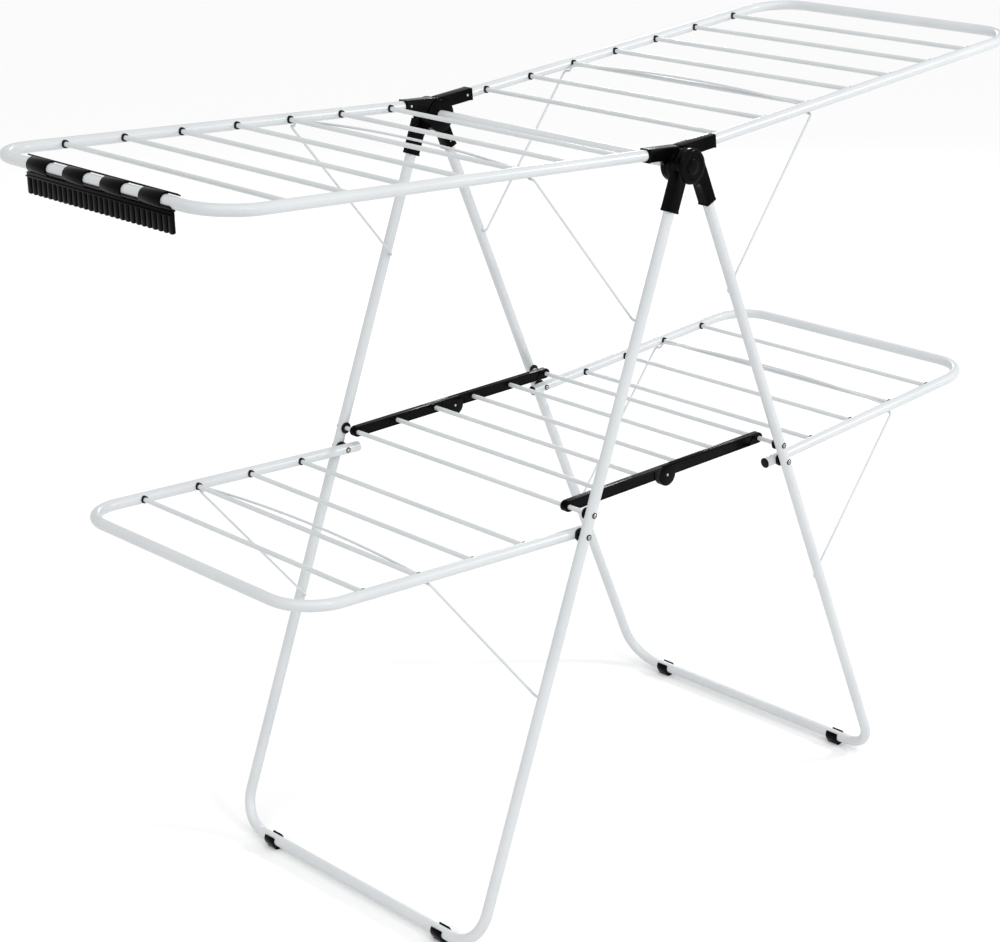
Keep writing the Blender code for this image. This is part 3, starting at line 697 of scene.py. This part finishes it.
hub = {
    "discRadius": 0.0250, "drumRadius": 0.0250, "discGap": 0.0004, "rimRound": 0.0014,
    "shoulder": 0.0034, "segments": 56, "sleeveInset": 0.0018, "webInset": 0.0003,
    "sleeveStart": 0.0275, "sleeveEnd": 0.0680, "sleeveHalf": 0.0091, "sleeveRound": 0.0013,
    "pocket": 0.0083, "bore": 0.0083, "gussetFrom": 0.0080, "gussetDrop": 0.0100,
    "hoodInner": {"left": 0.0090, "right": 0.0004},  # how far a wing sleeve's top stops from the axle
    "hugGap": 0.0006, "lip": 0.0007, "lipLength": 0.0035,
}
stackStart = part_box("left_wing_hub_far")[0].y
layerPitch = (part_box("right_leg_hub_far")[1].y - stackStart + hub["discGap"]) / 4


def layerSpan(order):
    low = stackStart + order * layerPitch
    return low, low + layerPitch - hub["discGap"]


# rings on the face of the outermost drum: (radius, depth below the face)
drumRings = [
    (0.0, 0.0012), (0.0116, 0.0012), (0.0124, 0.0003), (0.0142, 0.0003), (0.0149, 0.0011),
    (0.0172, 0.0011), (0.0179, 0.0),
]


def discOutline(low, high, drum):
    # a rounded rim; the outermost one is a drum with a rounded shoulder and a ring groove
    radius, soft = hub["discRadius"], hub["rimRound"]
    rim = [(0.0, high)]
    if drum:
        radius, soft = hub["drumRadius"], hub["shoulder"]
        rim = [(ring, high - depth) for ring, depth in drumRings]
    for angle in (0, 22, 45, 68, 90):
        turn = math.radians(angle)
        rim.append((radius - soft + soft * math.sin(turn), high - soft + soft * math.cos(turn)))
    soft = hub["rimRound"]
    for angle in (90, 60, 30, 0):
        turn = math.radians(angle)
        rim.append((radius - soft + soft * math.sin(turn), low + soft - soft * math.cos(turn)))
    return rim + [(0.0, low)]


def placed(mesh, line, depthSign):
    # local X runs along the tube, Z away from it and Y outwards, into the rack's own frame
    up = line.up if line.up.dot(line.base - flat(axlePoint)) > 0 else -line.up
    columns = (line.along, Vector((0, depthSign, 0)), up)
    turn = Matrix([[c[row] for c in columns] for row in range(3)]).to_4x4()
    mesh.transform(Matrix.Translation(axlePoint) @ turn)
    return mesh


def boreMesh(radius, start, end, direction, offset=(0, 0, 0), segments=40):
    work = bmesh.new()
    bmesh.ops.create_cone(
        work, cap_ends=True, segments=segments, radius1=radius, radius2=radius, depth=end - start
    )
    turn = Vector(direction).to_track_quat("Z", "Y").to_matrix().to_4x4()
    centre = Vector(offset) + Vector(direction) * (start + end) / 2
    bmesh.ops.transform(work, matrix=Matrix.Translation(centre) @ turn, verts=work.verts)
    mesh = bpy.data.meshes.new("bore")
    work.to_mesh(mesh)
    work.free()
    return mesh


def connector(name, node, body, line, depthSign, order, plane, wingSide):
    # disc on the axle, sleeve on the tube, and a web that runs from one to the other
    low, high = layerSpan(order)
    offset = (line.base - flat(axlePoint)).length
    half, start, end = hub["sleeveHalf"], hub["sleeveStart"], hub["sleeveEnd"]
    webLow = max(low + hub["webInset"], plane - half + 0.0002)
    webHigh = min(high - hub["webInset"], plane + half - 0.0002)
    disc = turnedMesh("disc", discOutline(low, high, order == 3), hub["segments"])
    # the sleeve's inner end curves round the discs; on the wings its top runs on to the hub's middle
    hug = hub["discRadius"] + hub["hugGap"]
    lowTurn = math.degrees(math.asin((offset - half) / hug))
    highTurn = math.degrees(math.asin(min(1.0, (offset + half - hub["sleeveInset"]) / hug)))
    if wingSide is not None:
        highTurn = math.degrees(math.acos(hub["hoodInner"][wingSide] / hug))
    box = [(end, offset - half), (end, offset + half)]
    box.append((hug * math.cos(math.radians(highTurn)), offset + half))
    box += arc((0.0, 0.0), hug, highTurn, lowTurn, 14)
    sleeve = roundEdges(slabMesh("sleeve", box, plane - half, plane + half), hub["sleeveRound"])
    lip = roundedBox(
        "lip",
        (end - hub["lipLength"], plane - half - hub["lip"] * 0.15, offset - half - hub["lip"]),
        (end - 0.0004, plane + half + hub["lip"] * 0.15, offset + half + hub["lip"] * 0.3), 0.0006, 2,
    )
    under = offset - half - hub["gussetDrop"]
    web = slabMesh("web", [
        (0.0, offset + half - 0.0004), (start + 0.004, offset + half - 0.0004),
        (start + 0.014, offset - half + 0.0006), (start + 0.0075, offset - half - 0.0006),
        (start + 0.0020, offset - half - 0.0032), (start - 0.0030, under),
        (hub["gussetFrom"], under - 0.0060), (0.0, under - 0.0060),
    ], webLow, webHigh, 0.0006)
    cuts = [
        boreMesh(hub["pocket"], start + 0.0035, end + 0.004, (1, 0, 0), (0, plane, offset)),
        boreMesh(hub["bore"], low - 0.004, high + 0.004, (0, 1, 0)),
    ]
    mesh = carve(name, disc, [web, sleeve, lip], cuts)
    piece = addPiece(name, placed(mesh, line, depthSign))
    tidyMesh(piece.data, 32.0)
    dress(piece, body, blackPlastic, [node])


# the discs on the axle, from the middle of the rack outwards
discOrder = (("left", "wing"), ("right", "wing"), ("left", "leg"), ("right", "leg"))
for depth, depthSign in depths.items():
    for order, (side, kind) in enumerate(discOrder):
        name, node = f"{side}_{kind}_connector_{depth}", f"{side}_{kind}_hub_{depth}"
        if kind == "wing":
            body, line, plane, wingSide = f"upper_{side}_wing", upperLines[side], wingPlane, side
        else:
            body, line, plane, wingSide = f"{side}_leg", legLines[side], legPlane, None
        connector(name, node, body, line, depthSign, order, plane, wingSide)

axle = {
    "radius": 0.0080, "segments": 48, "endInset": 0.0016, "capRadius": 0.0112, "capHeight": 0.0022,
    "capDome": 0.0016, "capSunk": 0.0008,
}
outerFace = layerSpan(3)[1]
axleTube = addPiece("axle_tube", boreMesh(
    axle["radius"], axle["endInset"] - outerFace, outerFace - axle["endInset"], (0, 1, 0),
    segments=axle["segments"],
))
axleTube.data.transform(Matrix.Translation(axlePoint))
tidyMesh(axleTube.data)
dress(axleTube, "left_leg", whiteCoat, ["top_axle"])


def capMesh():
    # a push-on cap, slightly domed, closing the axle's end
    top, radius = axle["capHeight"], axle["capRadius"]
    dome = [(0.0, top)] + [
        (radius * math.sin(math.radians(a)), top - axle["capDome"] * (1 - math.cos(math.radians(a))))
        for a in (15, 30, 45, 60, 75, 90)
    ]
    return turnedMesh("cap", dome + [(radius, 0.0002), (0.0, 0.0002)], 40)


scatter("axle_caps", "left_leg", "black_plastic", capMesh(),
        bothSides(axlePoint, outerFace - axle["capSunk"]), material=blackPlastic)
print("hubs and axle assembled")


# centre shelf

shelf = {
    "top": 0.0085, "bottom": 0.0075, "endRound": 0.0080, "lobe": 0.0165, "seam": 0.0003, "root": 0.0285,
    "flange": 0.0014, "recess": 0.0012, "recessEnd": 0.0230, "slant": 0.0120, "edge": 0.0006,
    "washer": 0.0088, "washerThickness": 0.0019,
}
shelfLevel = pivotOf("shelf_left_fold").z
knuckle = pivotOf("shelf_knuckle")


def beamMesh(node, sideSign, outerLug):
    # a beam half: its own lug on one half of the thickness, a hollow seat for the other lug beside it
    low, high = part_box(node)
    middle = (low.y + high.y) / 2
    end = max(abs(low.x), abs(high.x)) - shelf["endRound"]
    drop = shelfLevel - knuckle.z
    top, bottom = shelf["top"], shelf["bottom"]
    nose = arc((end, top - shelf["endRound"]), shelf["endRound"], 90, -90, 10)

    def lobeAngles(radius):
        upper = math.degrees(math.asin(min(1.0, (top + drop) / radius)))
        lower = math.degrees(math.asin((bottom - drop) / radius))
        return upper, lower

    upper, lower = lobeAngles(shelf["lobe"])
    convex = nose + [(shelf["root"], -bottom)]
    convex += list(reversed(arc((0.0, -drop), shelf["lobe"], 180 - upper, 360 - lower, 26)))
    seat = shelf["lobe"] + shelf["seam"]
    upper, lower = lobeAngles(seat)
    hollow = nose + [(seat + 0.0004, -bottom)] + arc((0.0, -drop), seat, -lower, upper, 10)
    ahead = (high.y + low.y > 0) == outerLug
    spans = [(middle + 0.00015, high.y - 0.0001), (low.y + 0.0001, middle - 0.00015)]
    lugSpan, seatSpan = spans if ahead else spans[::-1]
    parts = [
        slabMesh("lug", convex, *lugSpan, shelf["edge"]),
        slabMesh("seat", hollow, *seatSpan, shelf["edge"]),
        slabMesh("core", nose + [(shelf["root"], -bottom + 0.0004), (shelf["root"], top - 0.0004)],
                 low.y + 0.0008, high.y - 0.0008, 0.0),
    ]
    first, last = shelf["root"] - 0.0020, end - shelf["recessEnd"] + shelf["slant"]
    pocket = [
        (first, -bottom + shelf["flange"]), (last - shelf["slant"], -bottom + shelf["flange"]),
        (last, top - shelf["flange"] * 1.6), (first, top - shelf["flange"] * 1.6),
    ]
    cuts = [
        slabMesh("pocket", pocket, low.y - 0.001, low.y + shelf["recess"]),
        slabMesh("pocket", pocket, high.y - shelf["recess"], high.y + 0.001),
    ]
    mesh = carve(node, parts[0], parts[1:], cuts)
    if sideSign < 0:
        mesh.transform(Matrix.Scale(-1, 4, (1, 0, 0)))
    mesh.transform(Matrix.Translation((0, 0, shelfLevel)))
    return mesh


for side, sideSign in sides.items():
    for depth in depths:
        node = f"shelf_bar_{depth}_{side}"
        bar = addPiece(f"shelf_beam_{depth}_{side}", beamMesh(node, sideSign, side == "right"))
        tidyMesh(bar.data, 40.0)
        dress(bar, f"shelf_{side}_half", blackPlastic, [node])

legInner = legPlane - tubes["radius"]
for side, numbers in (("left", (1, 2, 3)), ("right", (6, 5, 4))):
    outer, *middle = [middleOf(f"shelf_rod_{k}") for k in numbers]
    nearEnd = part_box(f"shelf_rod_{numbers[1]}")[0].y + shelf["edge"] + 0.0012
    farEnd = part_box(f"shelf_rod_{numbers[1]}")[1].y - shelf["edge"] - 0.0012
    centreY = (nearEnd + farEnd) / 2
    row = grow(f"shelf_{side}_rods", pathMesh(middle), rodRow, {
        "Count": 2, "First": flat(middle[0], centreY), "Step": flat(middle[1] - middle[0]),
        "Length": farEnd - nearEnd, "Radius": rods["radius"], "Sides": rods["sides"],
        "Material": whiteCoat,
    })
    dress(row, f"shelf_{side}_half", stands=[f"shelf_rod_{k}" for k in numbers[1:]])
    reach = legInner - 0.0003
    pivotRod = grow(f"shelf_{side}_pivot_rod", pathMesh([outer, outer + Vector((0, 0.1, 0))]), rodRow, {
        "Count": 1, "First": flat(outer), "Step": Vector((0, 0, 0)), "Length": 2 * reach,
        "Radius": rods["radius"], "Sides": rods["sides"], "Material": whiteCoat,
    })
    dress(pivotRod, f"shelf_{side}_half", stands=[f"shelf_rod_{numbers[0]}"])


# washers, screws, plugs and rivets

def washerMesh():
    inner, outer, high = rods["radius"] + 0.0001, shelf["washer"], shelf["washerThickness"]
    return turnedMesh("washer", [
        (inner, high), (outer - 0.0006, high), (outer, high - 0.0006), (outer, 0.0001), (inner, 0.0001),
    ], 28)


screws = {
    "radius": 0.0030, "height": 0.0017, "recess": 0.0014, "recessDepth": 0.0010, "segments": 18,
    "seatRadius": 0.0043, "seatHeight": 0.0008, "sunk": 0.0006, "standOff": 0.0002,
}


def screwMesh():
    # a pan head with a socket, seated on +Y
    radius, high = screws["radius"], screws["height"]
    dome = [
        (radius * math.sin(math.radians(a)), high * (0.35 + 0.65 * math.cos(math.radians(a))))
        for a in (32, 50, 68, 84)
    ]
    return turnedMesh("screw", [
        (0.0, high - screws["recessDepth"]), (screws["recess"], high - screws["recessDepth"]),
        (screws["recess"], high * 0.97), *dome, (radius, high * 0.30),
        (radius, -screws["sunk"]), (0.0, -screws["sunk"]),
    ], screws["segments"])


def screwSeatMesh():
    # the dished plastic ring under a screw head
    inner, outer, high = screws["radius"] - 0.0002, screws["seatRadius"], screws["seatHeight"]
    return turnedMesh("seat", [
        (inner, 0.0003), (inner + 0.0005, high), (outer - 0.0004, high), (outer, high - 0.0004),
        (outer, -screws["sunk"]), (inner, -screws["sunk"]),
    ], screws["segments"] + 6)


rivets = {
    "radius": 0.0021, "height": 0.0009, "foot": 0.0004, "fromSleeveEnd": 0.0105, "sunkOnLegs": 0.0007,
}


def rivetMesh():
    # a small closed rivet head
    radius, high, foot = rivets["radius"], rivets["height"], rivets["foot"]
    dome = [
        (radius * math.sin(math.radians(a)), high * math.cos(math.radians(a)))
        for a in (0, 22, 45, 68, 90)
    ]
    return turnedMesh("rivet", dome + [(radius, -foot), (0.0, -foot)], 14)


def plugMesh():
    # a push-in plug for an open tube end
    radius = tubes["radius"] - 0.0002
    return turnedMesh("plug", [
        (0.0, 0.0016), (radius * 0.55, 0.0015), (radius * 0.85, 0.0011), (radius, 0.0004),
        (radius, -0.0004), (radius * 0.8, -0.0006), (radius * 0.8, -0.0040), (0.0, -0.0040),
    ], 28)


def saddleMesh():
    # the spacer between a lower rail and its leg, dished to sit on both tubes
    gap = (legPlane - tubes["radius"]) - (wingPlane + tubes["radius"])
    return turnedMesh("saddle", [
        (0.0030, gap / 2 - 0.0001), (0.0062, gap / 2 - 0.0001), (0.0078, gap / 2 + 0.0016),
        (0.0090, gap / 2 + 0.0014), (0.0096, 0.0004), (0.0096, -0.0004), (0.0090, -gap / 2 - 0.0014),
        (0.0078, -gap / 2 - 0.0016), (0.0062, -gap / 2 + 0.0001), (0.0030, -gap / 2 + 0.0001),
    ], 28)


legOuter = legPlane + tubes["radius"]
railInner = wingPlane - tubes["radius"]
spacerPlane = (legPlane - tubes["radius"] + wingPlane + tubes["radius"]) / 2
for side in sides:
    leg, upper, lower = f"{side}_leg", f"upper_{side}_wing", f"lower_{side}_wing"
    shelfPivot = middleOf("shelf_rod_1" if side == "left" else "shelf_rod_6")
    lowerPivot = pivotOf(f"lower_{side}_wing_fold")
    headReach = legOuter - screws["standOff"]
    heads = bothSides(shelfPivot, headReach) + bothSides(lowerPivot, headReach)
    railHeads = bothSides(lowerPivot, railInner + screws["standOff"], inward=True)
    plugs = [
        (lowerLines[side].at(tailStart, sign * wingPlane), -lowerLines[side].along)
        for sign in depths.values()
    ]
    sleeveSpot = hub["sleeveEnd"] - rivets["fromSleeveEnd"]
    wingRivets = bothSides(upperLines[side].at(sleeveSpot), wingPlane - hub["sleeveHalf"], inward=True)
    # sunk on the legs, because the folded wing's sleeve passes close by
    sunk = legPlane - hub["sleeveHalf"] + rivets["sunkOnLegs"]
    legRivets = bothSides(legLines[side].at(sleeveSpot), sunk, inward=True)
    scatter(f"{side}_shelf_washers", f"shelf_{side}_half", "black_plastic", washerMesh(),
            bothSides(shelfPivot, legInner, inward=True))
    scatter(f"{side}_leg_screws", leg, "bright_steel", screwMesh(), heads,
            [f"lower_{side}_pivot_{depth}" for depth in depths])
    scatter(f"{side}_leg_screw_seats", leg, "black_plastic", screwSeatMesh(), heads)
    scatter(f"{side}_rail_screws", lower, "bright_steel", screwMesh(), railHeads)
    scatter(f"{side}_rail_screw_seats", lower, "black_plastic", screwSeatMesh(), railHeads)
    scatter(f"{side}_saddles", leg, "black_plastic", saddleMesh(), bothSides(lowerPivot, spacerPlane))
    scatter(f"{side}_rail_plugs", lower, "black_plastic", plugMesh(), plugs)
    scatter(f"upper_{side}_sleeve_rivets", upper, "bright_steel", rivetMesh(), wingRivets)
    scatter(f"{side}_leg_sleeve_rivets", leg, "bright_steel", rivetMesh(), legRivets)
spots = []
for depth in depths:
    low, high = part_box(f"shelf_bar_{depth}_right")
    spots += [(flat(knuckle, high.y), (0, 1, 0)), (flat(knuckle, low.y), (0, -1, 0))]
scatter("knuckle_rivets", "shelf_right_half", "bright_steel", rivetMesh(), spots)
print("washers, screws, plugs and rivets placed")


# feet

feet = {"wall": 0.0024, "length": 0.0220, "lipAngle": 52, "lipSpread": 0.0007, "edge": 0.0005}


def footMesh(drop):
    # a spring clip: a C around the tube with flared lips, thickened below to a narrow sole
    inner = tubes["radius"] + 0.0001
    outer = inner + feet["wall"]
    start, end = 90 - feet["lipAngle"], 90 + feet["lipAngle"] - 360
    lipX, lipZ = arc((0, 0), outer + feet["lipSpread"], start + 4, start + 4, 1)[0]
    outline = [(lipX, lipZ)]
    for k in range(33):
        angle = math.radians(start + (end - start) * k / 32)
        x, z = outer * math.cos(angle), outer * math.sin(angle)
        if z < 0:
            # the lower half deepens from the ring to the floor
            share = (-z / outer) ** 3
            z -= (drop - outer) * share
            if share > 0.75:
                z = -drop
        outline.append((x, z))
    outline.append((-lipX, lipZ))
    outline += arc((0, 0), inner, end, start, 32)
    return slabMesh("foot", outline, -feet["length"] / 2, feet["length"] / 2, feet["edge"])


for side in sides:
    for depth in depths:
        node = f"foot_clip_{side}_{depth}"
        low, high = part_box(node)
        seat = flat(legLines[side].at(legReaches[side]), (low.y + high.y) / 2)
        mesh = footMesh(seat.z - low.z)
        mesh.transform(Matrix.Translation(seat))
        clip = addPiece(f"foot_{side}_{depth}", mesh)
        tidyMesh(clip.data, 40.0)
        dress(clip, f"{side}_leg", blackPlastic, [node])
print("feet clipped on")


# sock clip bar

sock = {
    "wall": 0.0026, "clips": 4, "clipLength": 0.0430, "clipPitch": 0.0823, "teeth": 28,
    "stripWidth": 0.0056, "stripThickness": 0.0020, "ledge": 0.0034, "plateTop": 0.0100,
    "clipInset": 0.0160, "combInset": 0.0070, "troughFrom": 196, "troughTo": 262,
    "fingerTop": 0.0150, "fingerWidth": 0.0094, "fingerThickness": 0.0044, "plateShift": 0.0040,
}
combTreeBuilt = combTree()


def clipMesh(length):
    # three quarters of a ring, open towards the wing
    inner, outer = tubes["radius"] + 0.0002, tubes["radius"] + 0.0002 + sock["wall"]
    ring = arc((0, 0), outer, 60, 268, 22) + arc((0, 0), inner, 268, 60, 22)
    return slabMesh("clip", ring, 0.0, length, 0.0005)


def fingerMesh(drop):
    # a ribbed finger with a rounded tip, seen edge on as one scallop of the comb
    half, thick = sock["fingerWidth"] / 2, sock["fingerThickness"] / 2
    top = -sock["fingerTop"]
    tipCentre = -drop + half * 0.55
    outline = [(-half * 0.96, top), (-half, tipCentre)]
    outline += [
        (-half * math.cos(math.radians(a)), tipCentre - half * 0.55 * math.sin(math.radians(a)))
        for a in (30, 60, 90, 120, 150)
    ]
    outline += [(half, tipCentre), (half * 0.96, top)]
    mesh = slabMesh("finger", outline, -thick, thick, 0.0009)
    mesh.transform(Matrix.Rotation(math.radians(90), 4, "Z"))
    return mesh


def makeSockBar():
    low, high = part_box("sock_clip_bar")
    centre = pivotOf("sock_bar_swivel")
    length = high.y - sock["combInset"] - low.y
    drop = centre.z - low.z
    plateX = -sock["plateShift"]
    base = roundedBox(
        "plate", (plateX - 0.0014, low.y, -sock["fingerTop"] - 0.0030),
        (plateX + 0.0014, low.y + length, -sock["plateTop"] + 0.0006), 0.0006, 2,
    )
    ledge = roundedBox(
        "ledge", (plateX - sock["ledge"], low.y, -sock["fingerTop"] - 0.0006),
        (plateX + sock["ledge"] * 0.5, low.y + length, -sock["fingerTop"] + 0.0014), 0.0006, 2,
    )
    ringOuter = tubes["radius"] + sock["wall"]
    stripAngle = math.radians(58)
    stripX, stripZ = ringOuter * math.cos(stripAngle), ringOuter * math.sin(stripAngle)
    strip = roundedBox(
        "strip", (-sock["stripWidth"] / 2, low.y, -sock["stripThickness"] / 2),
        (sock["stripWidth"] / 2, high.y, sock["stripThickness"] / 2), 0.0006, 2,
    )
    strip.transform(
        Matrix.Translation((stripX, 0, stripZ)) @ Matrix.Rotation(math.radians(32), 4, "Y")
    )
    inner = tubes["radius"] + 0.0002
    gutter = arc((0, 0), ringOuter - 0.0004, sock["troughFrom"], sock["troughTo"], 8)
    gutter += arc((0, 0), inner, sock["troughTo"], sock["troughFrom"], 8)
    trough = slabMesh("trough", gutter, low.y, high.y - sock["clipInset"] - 0.0010, 0.0003)
    body = carve("spine", base, [ledge, trough])
    work = bmesh.new()
    work.from_mesh(body)
    work.from_mesh(strip)
    seed = bpy.data.meshes.new("spine")
    work.to_mesh(seed)
    work.free()
    finger = addPiece("fingerPattern", fingerMesh(drop))
    clip = addPiece("clipPattern", clipMesh(sock["clipLength"]))
    pitch = length / sock["teeth"]
    piece = grow("sock_comb", seed, combTreeBuilt, {
        "Finger": finger, "Finger Count": sock["teeth"],
        "Finger Start": Vector((plateX, low.y + pitch / 2, 0)), "Finger Step": Vector((0, pitch, 0)),
        "Clip": clip, "Clip Count": sock["clips"],
        "Clip Start": Vector((0, high.y - sock["clipInset"] - sock["clipLength"], 0)),
        "Clip Step": Vector((0, -sock["clipPitch"], 0)), "Material": blackPlastic,
    })
    for pattern in (finger, clip):
        bpy.data.objects.remove(pattern, do_unlink=True)
    piece.data.transform(Matrix.Translation(flat(centre)))
    dress(piece, "sock_clip_bar", blackPlastic, ["sock_clip_bar"])


makeSockBar()
print("sock clip bar hung")


# studio

studio = {
    "floorSize": 60.0, "floorColour": (0.90, 0.90, 0.90), "sky": (1.0, 1.0, 1.0), "skyStrength": 0.70,
    "sunStrength": 1.40, "sunSpread": 70.0, "sunTilt": (26.0, -22.0),
    "keyPower": 26.0, "keySize": 0.26, "keyPlace": (2.2, -2.2, 1.9),
    "rimPower": 16.0, "rimSize": 0.40, "rimPlace": (3.0, 2.8, 2.0),
    "fillPower": 9.0, "fillSize": 0.20, "fillPlace": (-0.4, -2.6, 2.4),
}


def makeFloor():
    mesh = bpy.data.meshes.new("floor")
    work = bmesh.new()
    bmesh.ops.create_grid(work, x_segments=1, y_segments=1, size=studio["floorSize"] / 2)
    work.to_mesh(mesh)
    work.free()
    floor = addPiece("floor", mesh)
    material, tree, shader = newMaterial("paleFloor", studio["floorColour"], 0.9)
    shader.inputs["Specular IOR Level"].default_value = 0.1
    mesh.materials.append(material)


def makeLight(name, power, size, place):
    light = bpy.data.lights.new(name, "AREA")
    light.energy = power
    light.size = size
    lamp = bpy.data.objects.new(name, light)
    lamp.location = place
    aim = Vector((0, 0, 0.6)) - Vector(place)
    lamp.rotation_euler = aim.to_track_quat("-Z", "Y").to_euler()
    bpy.context.scene.collection.objects.link(lamp)


def makeSun():
    light = bpy.data.lights.new("softSun", "SUN")
    light.energy = studio["sunStrength"]
    light.angle = math.radians(studio["sunSpread"])
    lamp = bpy.data.objects.new("softSun", light)
    lamp.rotation_euler = (math.radians(studio["sunTilt"][0]), math.radians(studio["sunTilt"][1]), 0.0)
    bpy.context.scene.collection.objects.link(lamp)


def makeSky():
    world = bpy.data.worlds.new("paleStudio")
    world.use_nodes = True
    backdrop = world.node_tree.nodes["Background"]
    backdrop.inputs["Color"].default_value = (*studio["sky"], 1.0)
    backdrop.inputs["Strength"].default_value = studio["skyStrength"]
    bpy.context.scene.world = world


view = {
    "place": (-2.352, -2.489, 1.8015), "yaw": 43.431, "pitch": -19.424, "roll": -1.1925,
    "lens": 86.71, "sensor": 36.0, "shiftX": -0.060, "shiftY": -0.031,
}


def makeCamera():
    yaw, pitch, roll = (math.radians(view[key]) for key in ("yaw", "pitch", "roll"))
    ahead = Vector((math.sin(yaw) * math.cos(pitch), math.cos(yaw) * math.cos(pitch), math.sin(pitch)))
    level = Vector((math.cos(yaw), -math.sin(yaw), 0.0))
    above = level.cross(ahead)
    right = level * math.cos(roll) + above * math.sin(roll)
    up = above * math.cos(roll) - level * math.sin(roll)
    data = bpy.data.cameras.new("camera")
    data.sensor_width = view["sensor"]
    data.lens = view["lens"]
    data.shift_x = view["shiftX"]
    data.shift_y = view["shiftY"]
    data.clip_end = 200.0
    camera = bpy.data.objects.new("camera", data)
    turn = Matrix([[column[row] for column in (right, up, -ahead)] for row in range(3)]).to_4x4()
    camera.matrix_world = Matrix.Translation(view["place"]) @ turn
    bpy.context.scene.collection.objects.link(camera)
    bpy.context.scene.camera = camera


makeFloor()
makeSky()
makeSun()
makeLight("keyLight", studio["keyPower"], studio["keySize"], studio["keyPlace"])
makeLight("rimLight", studio["rimPower"], studio["rimSize"], studio["rimPlace"])
makeLight("fillLight", studio["fillPower"], studio["fillSize"], studio["fillPlace"])
makeCamera()
bpy.context.scene.view_settings.view_transform = "Standard"
print("studio ready")
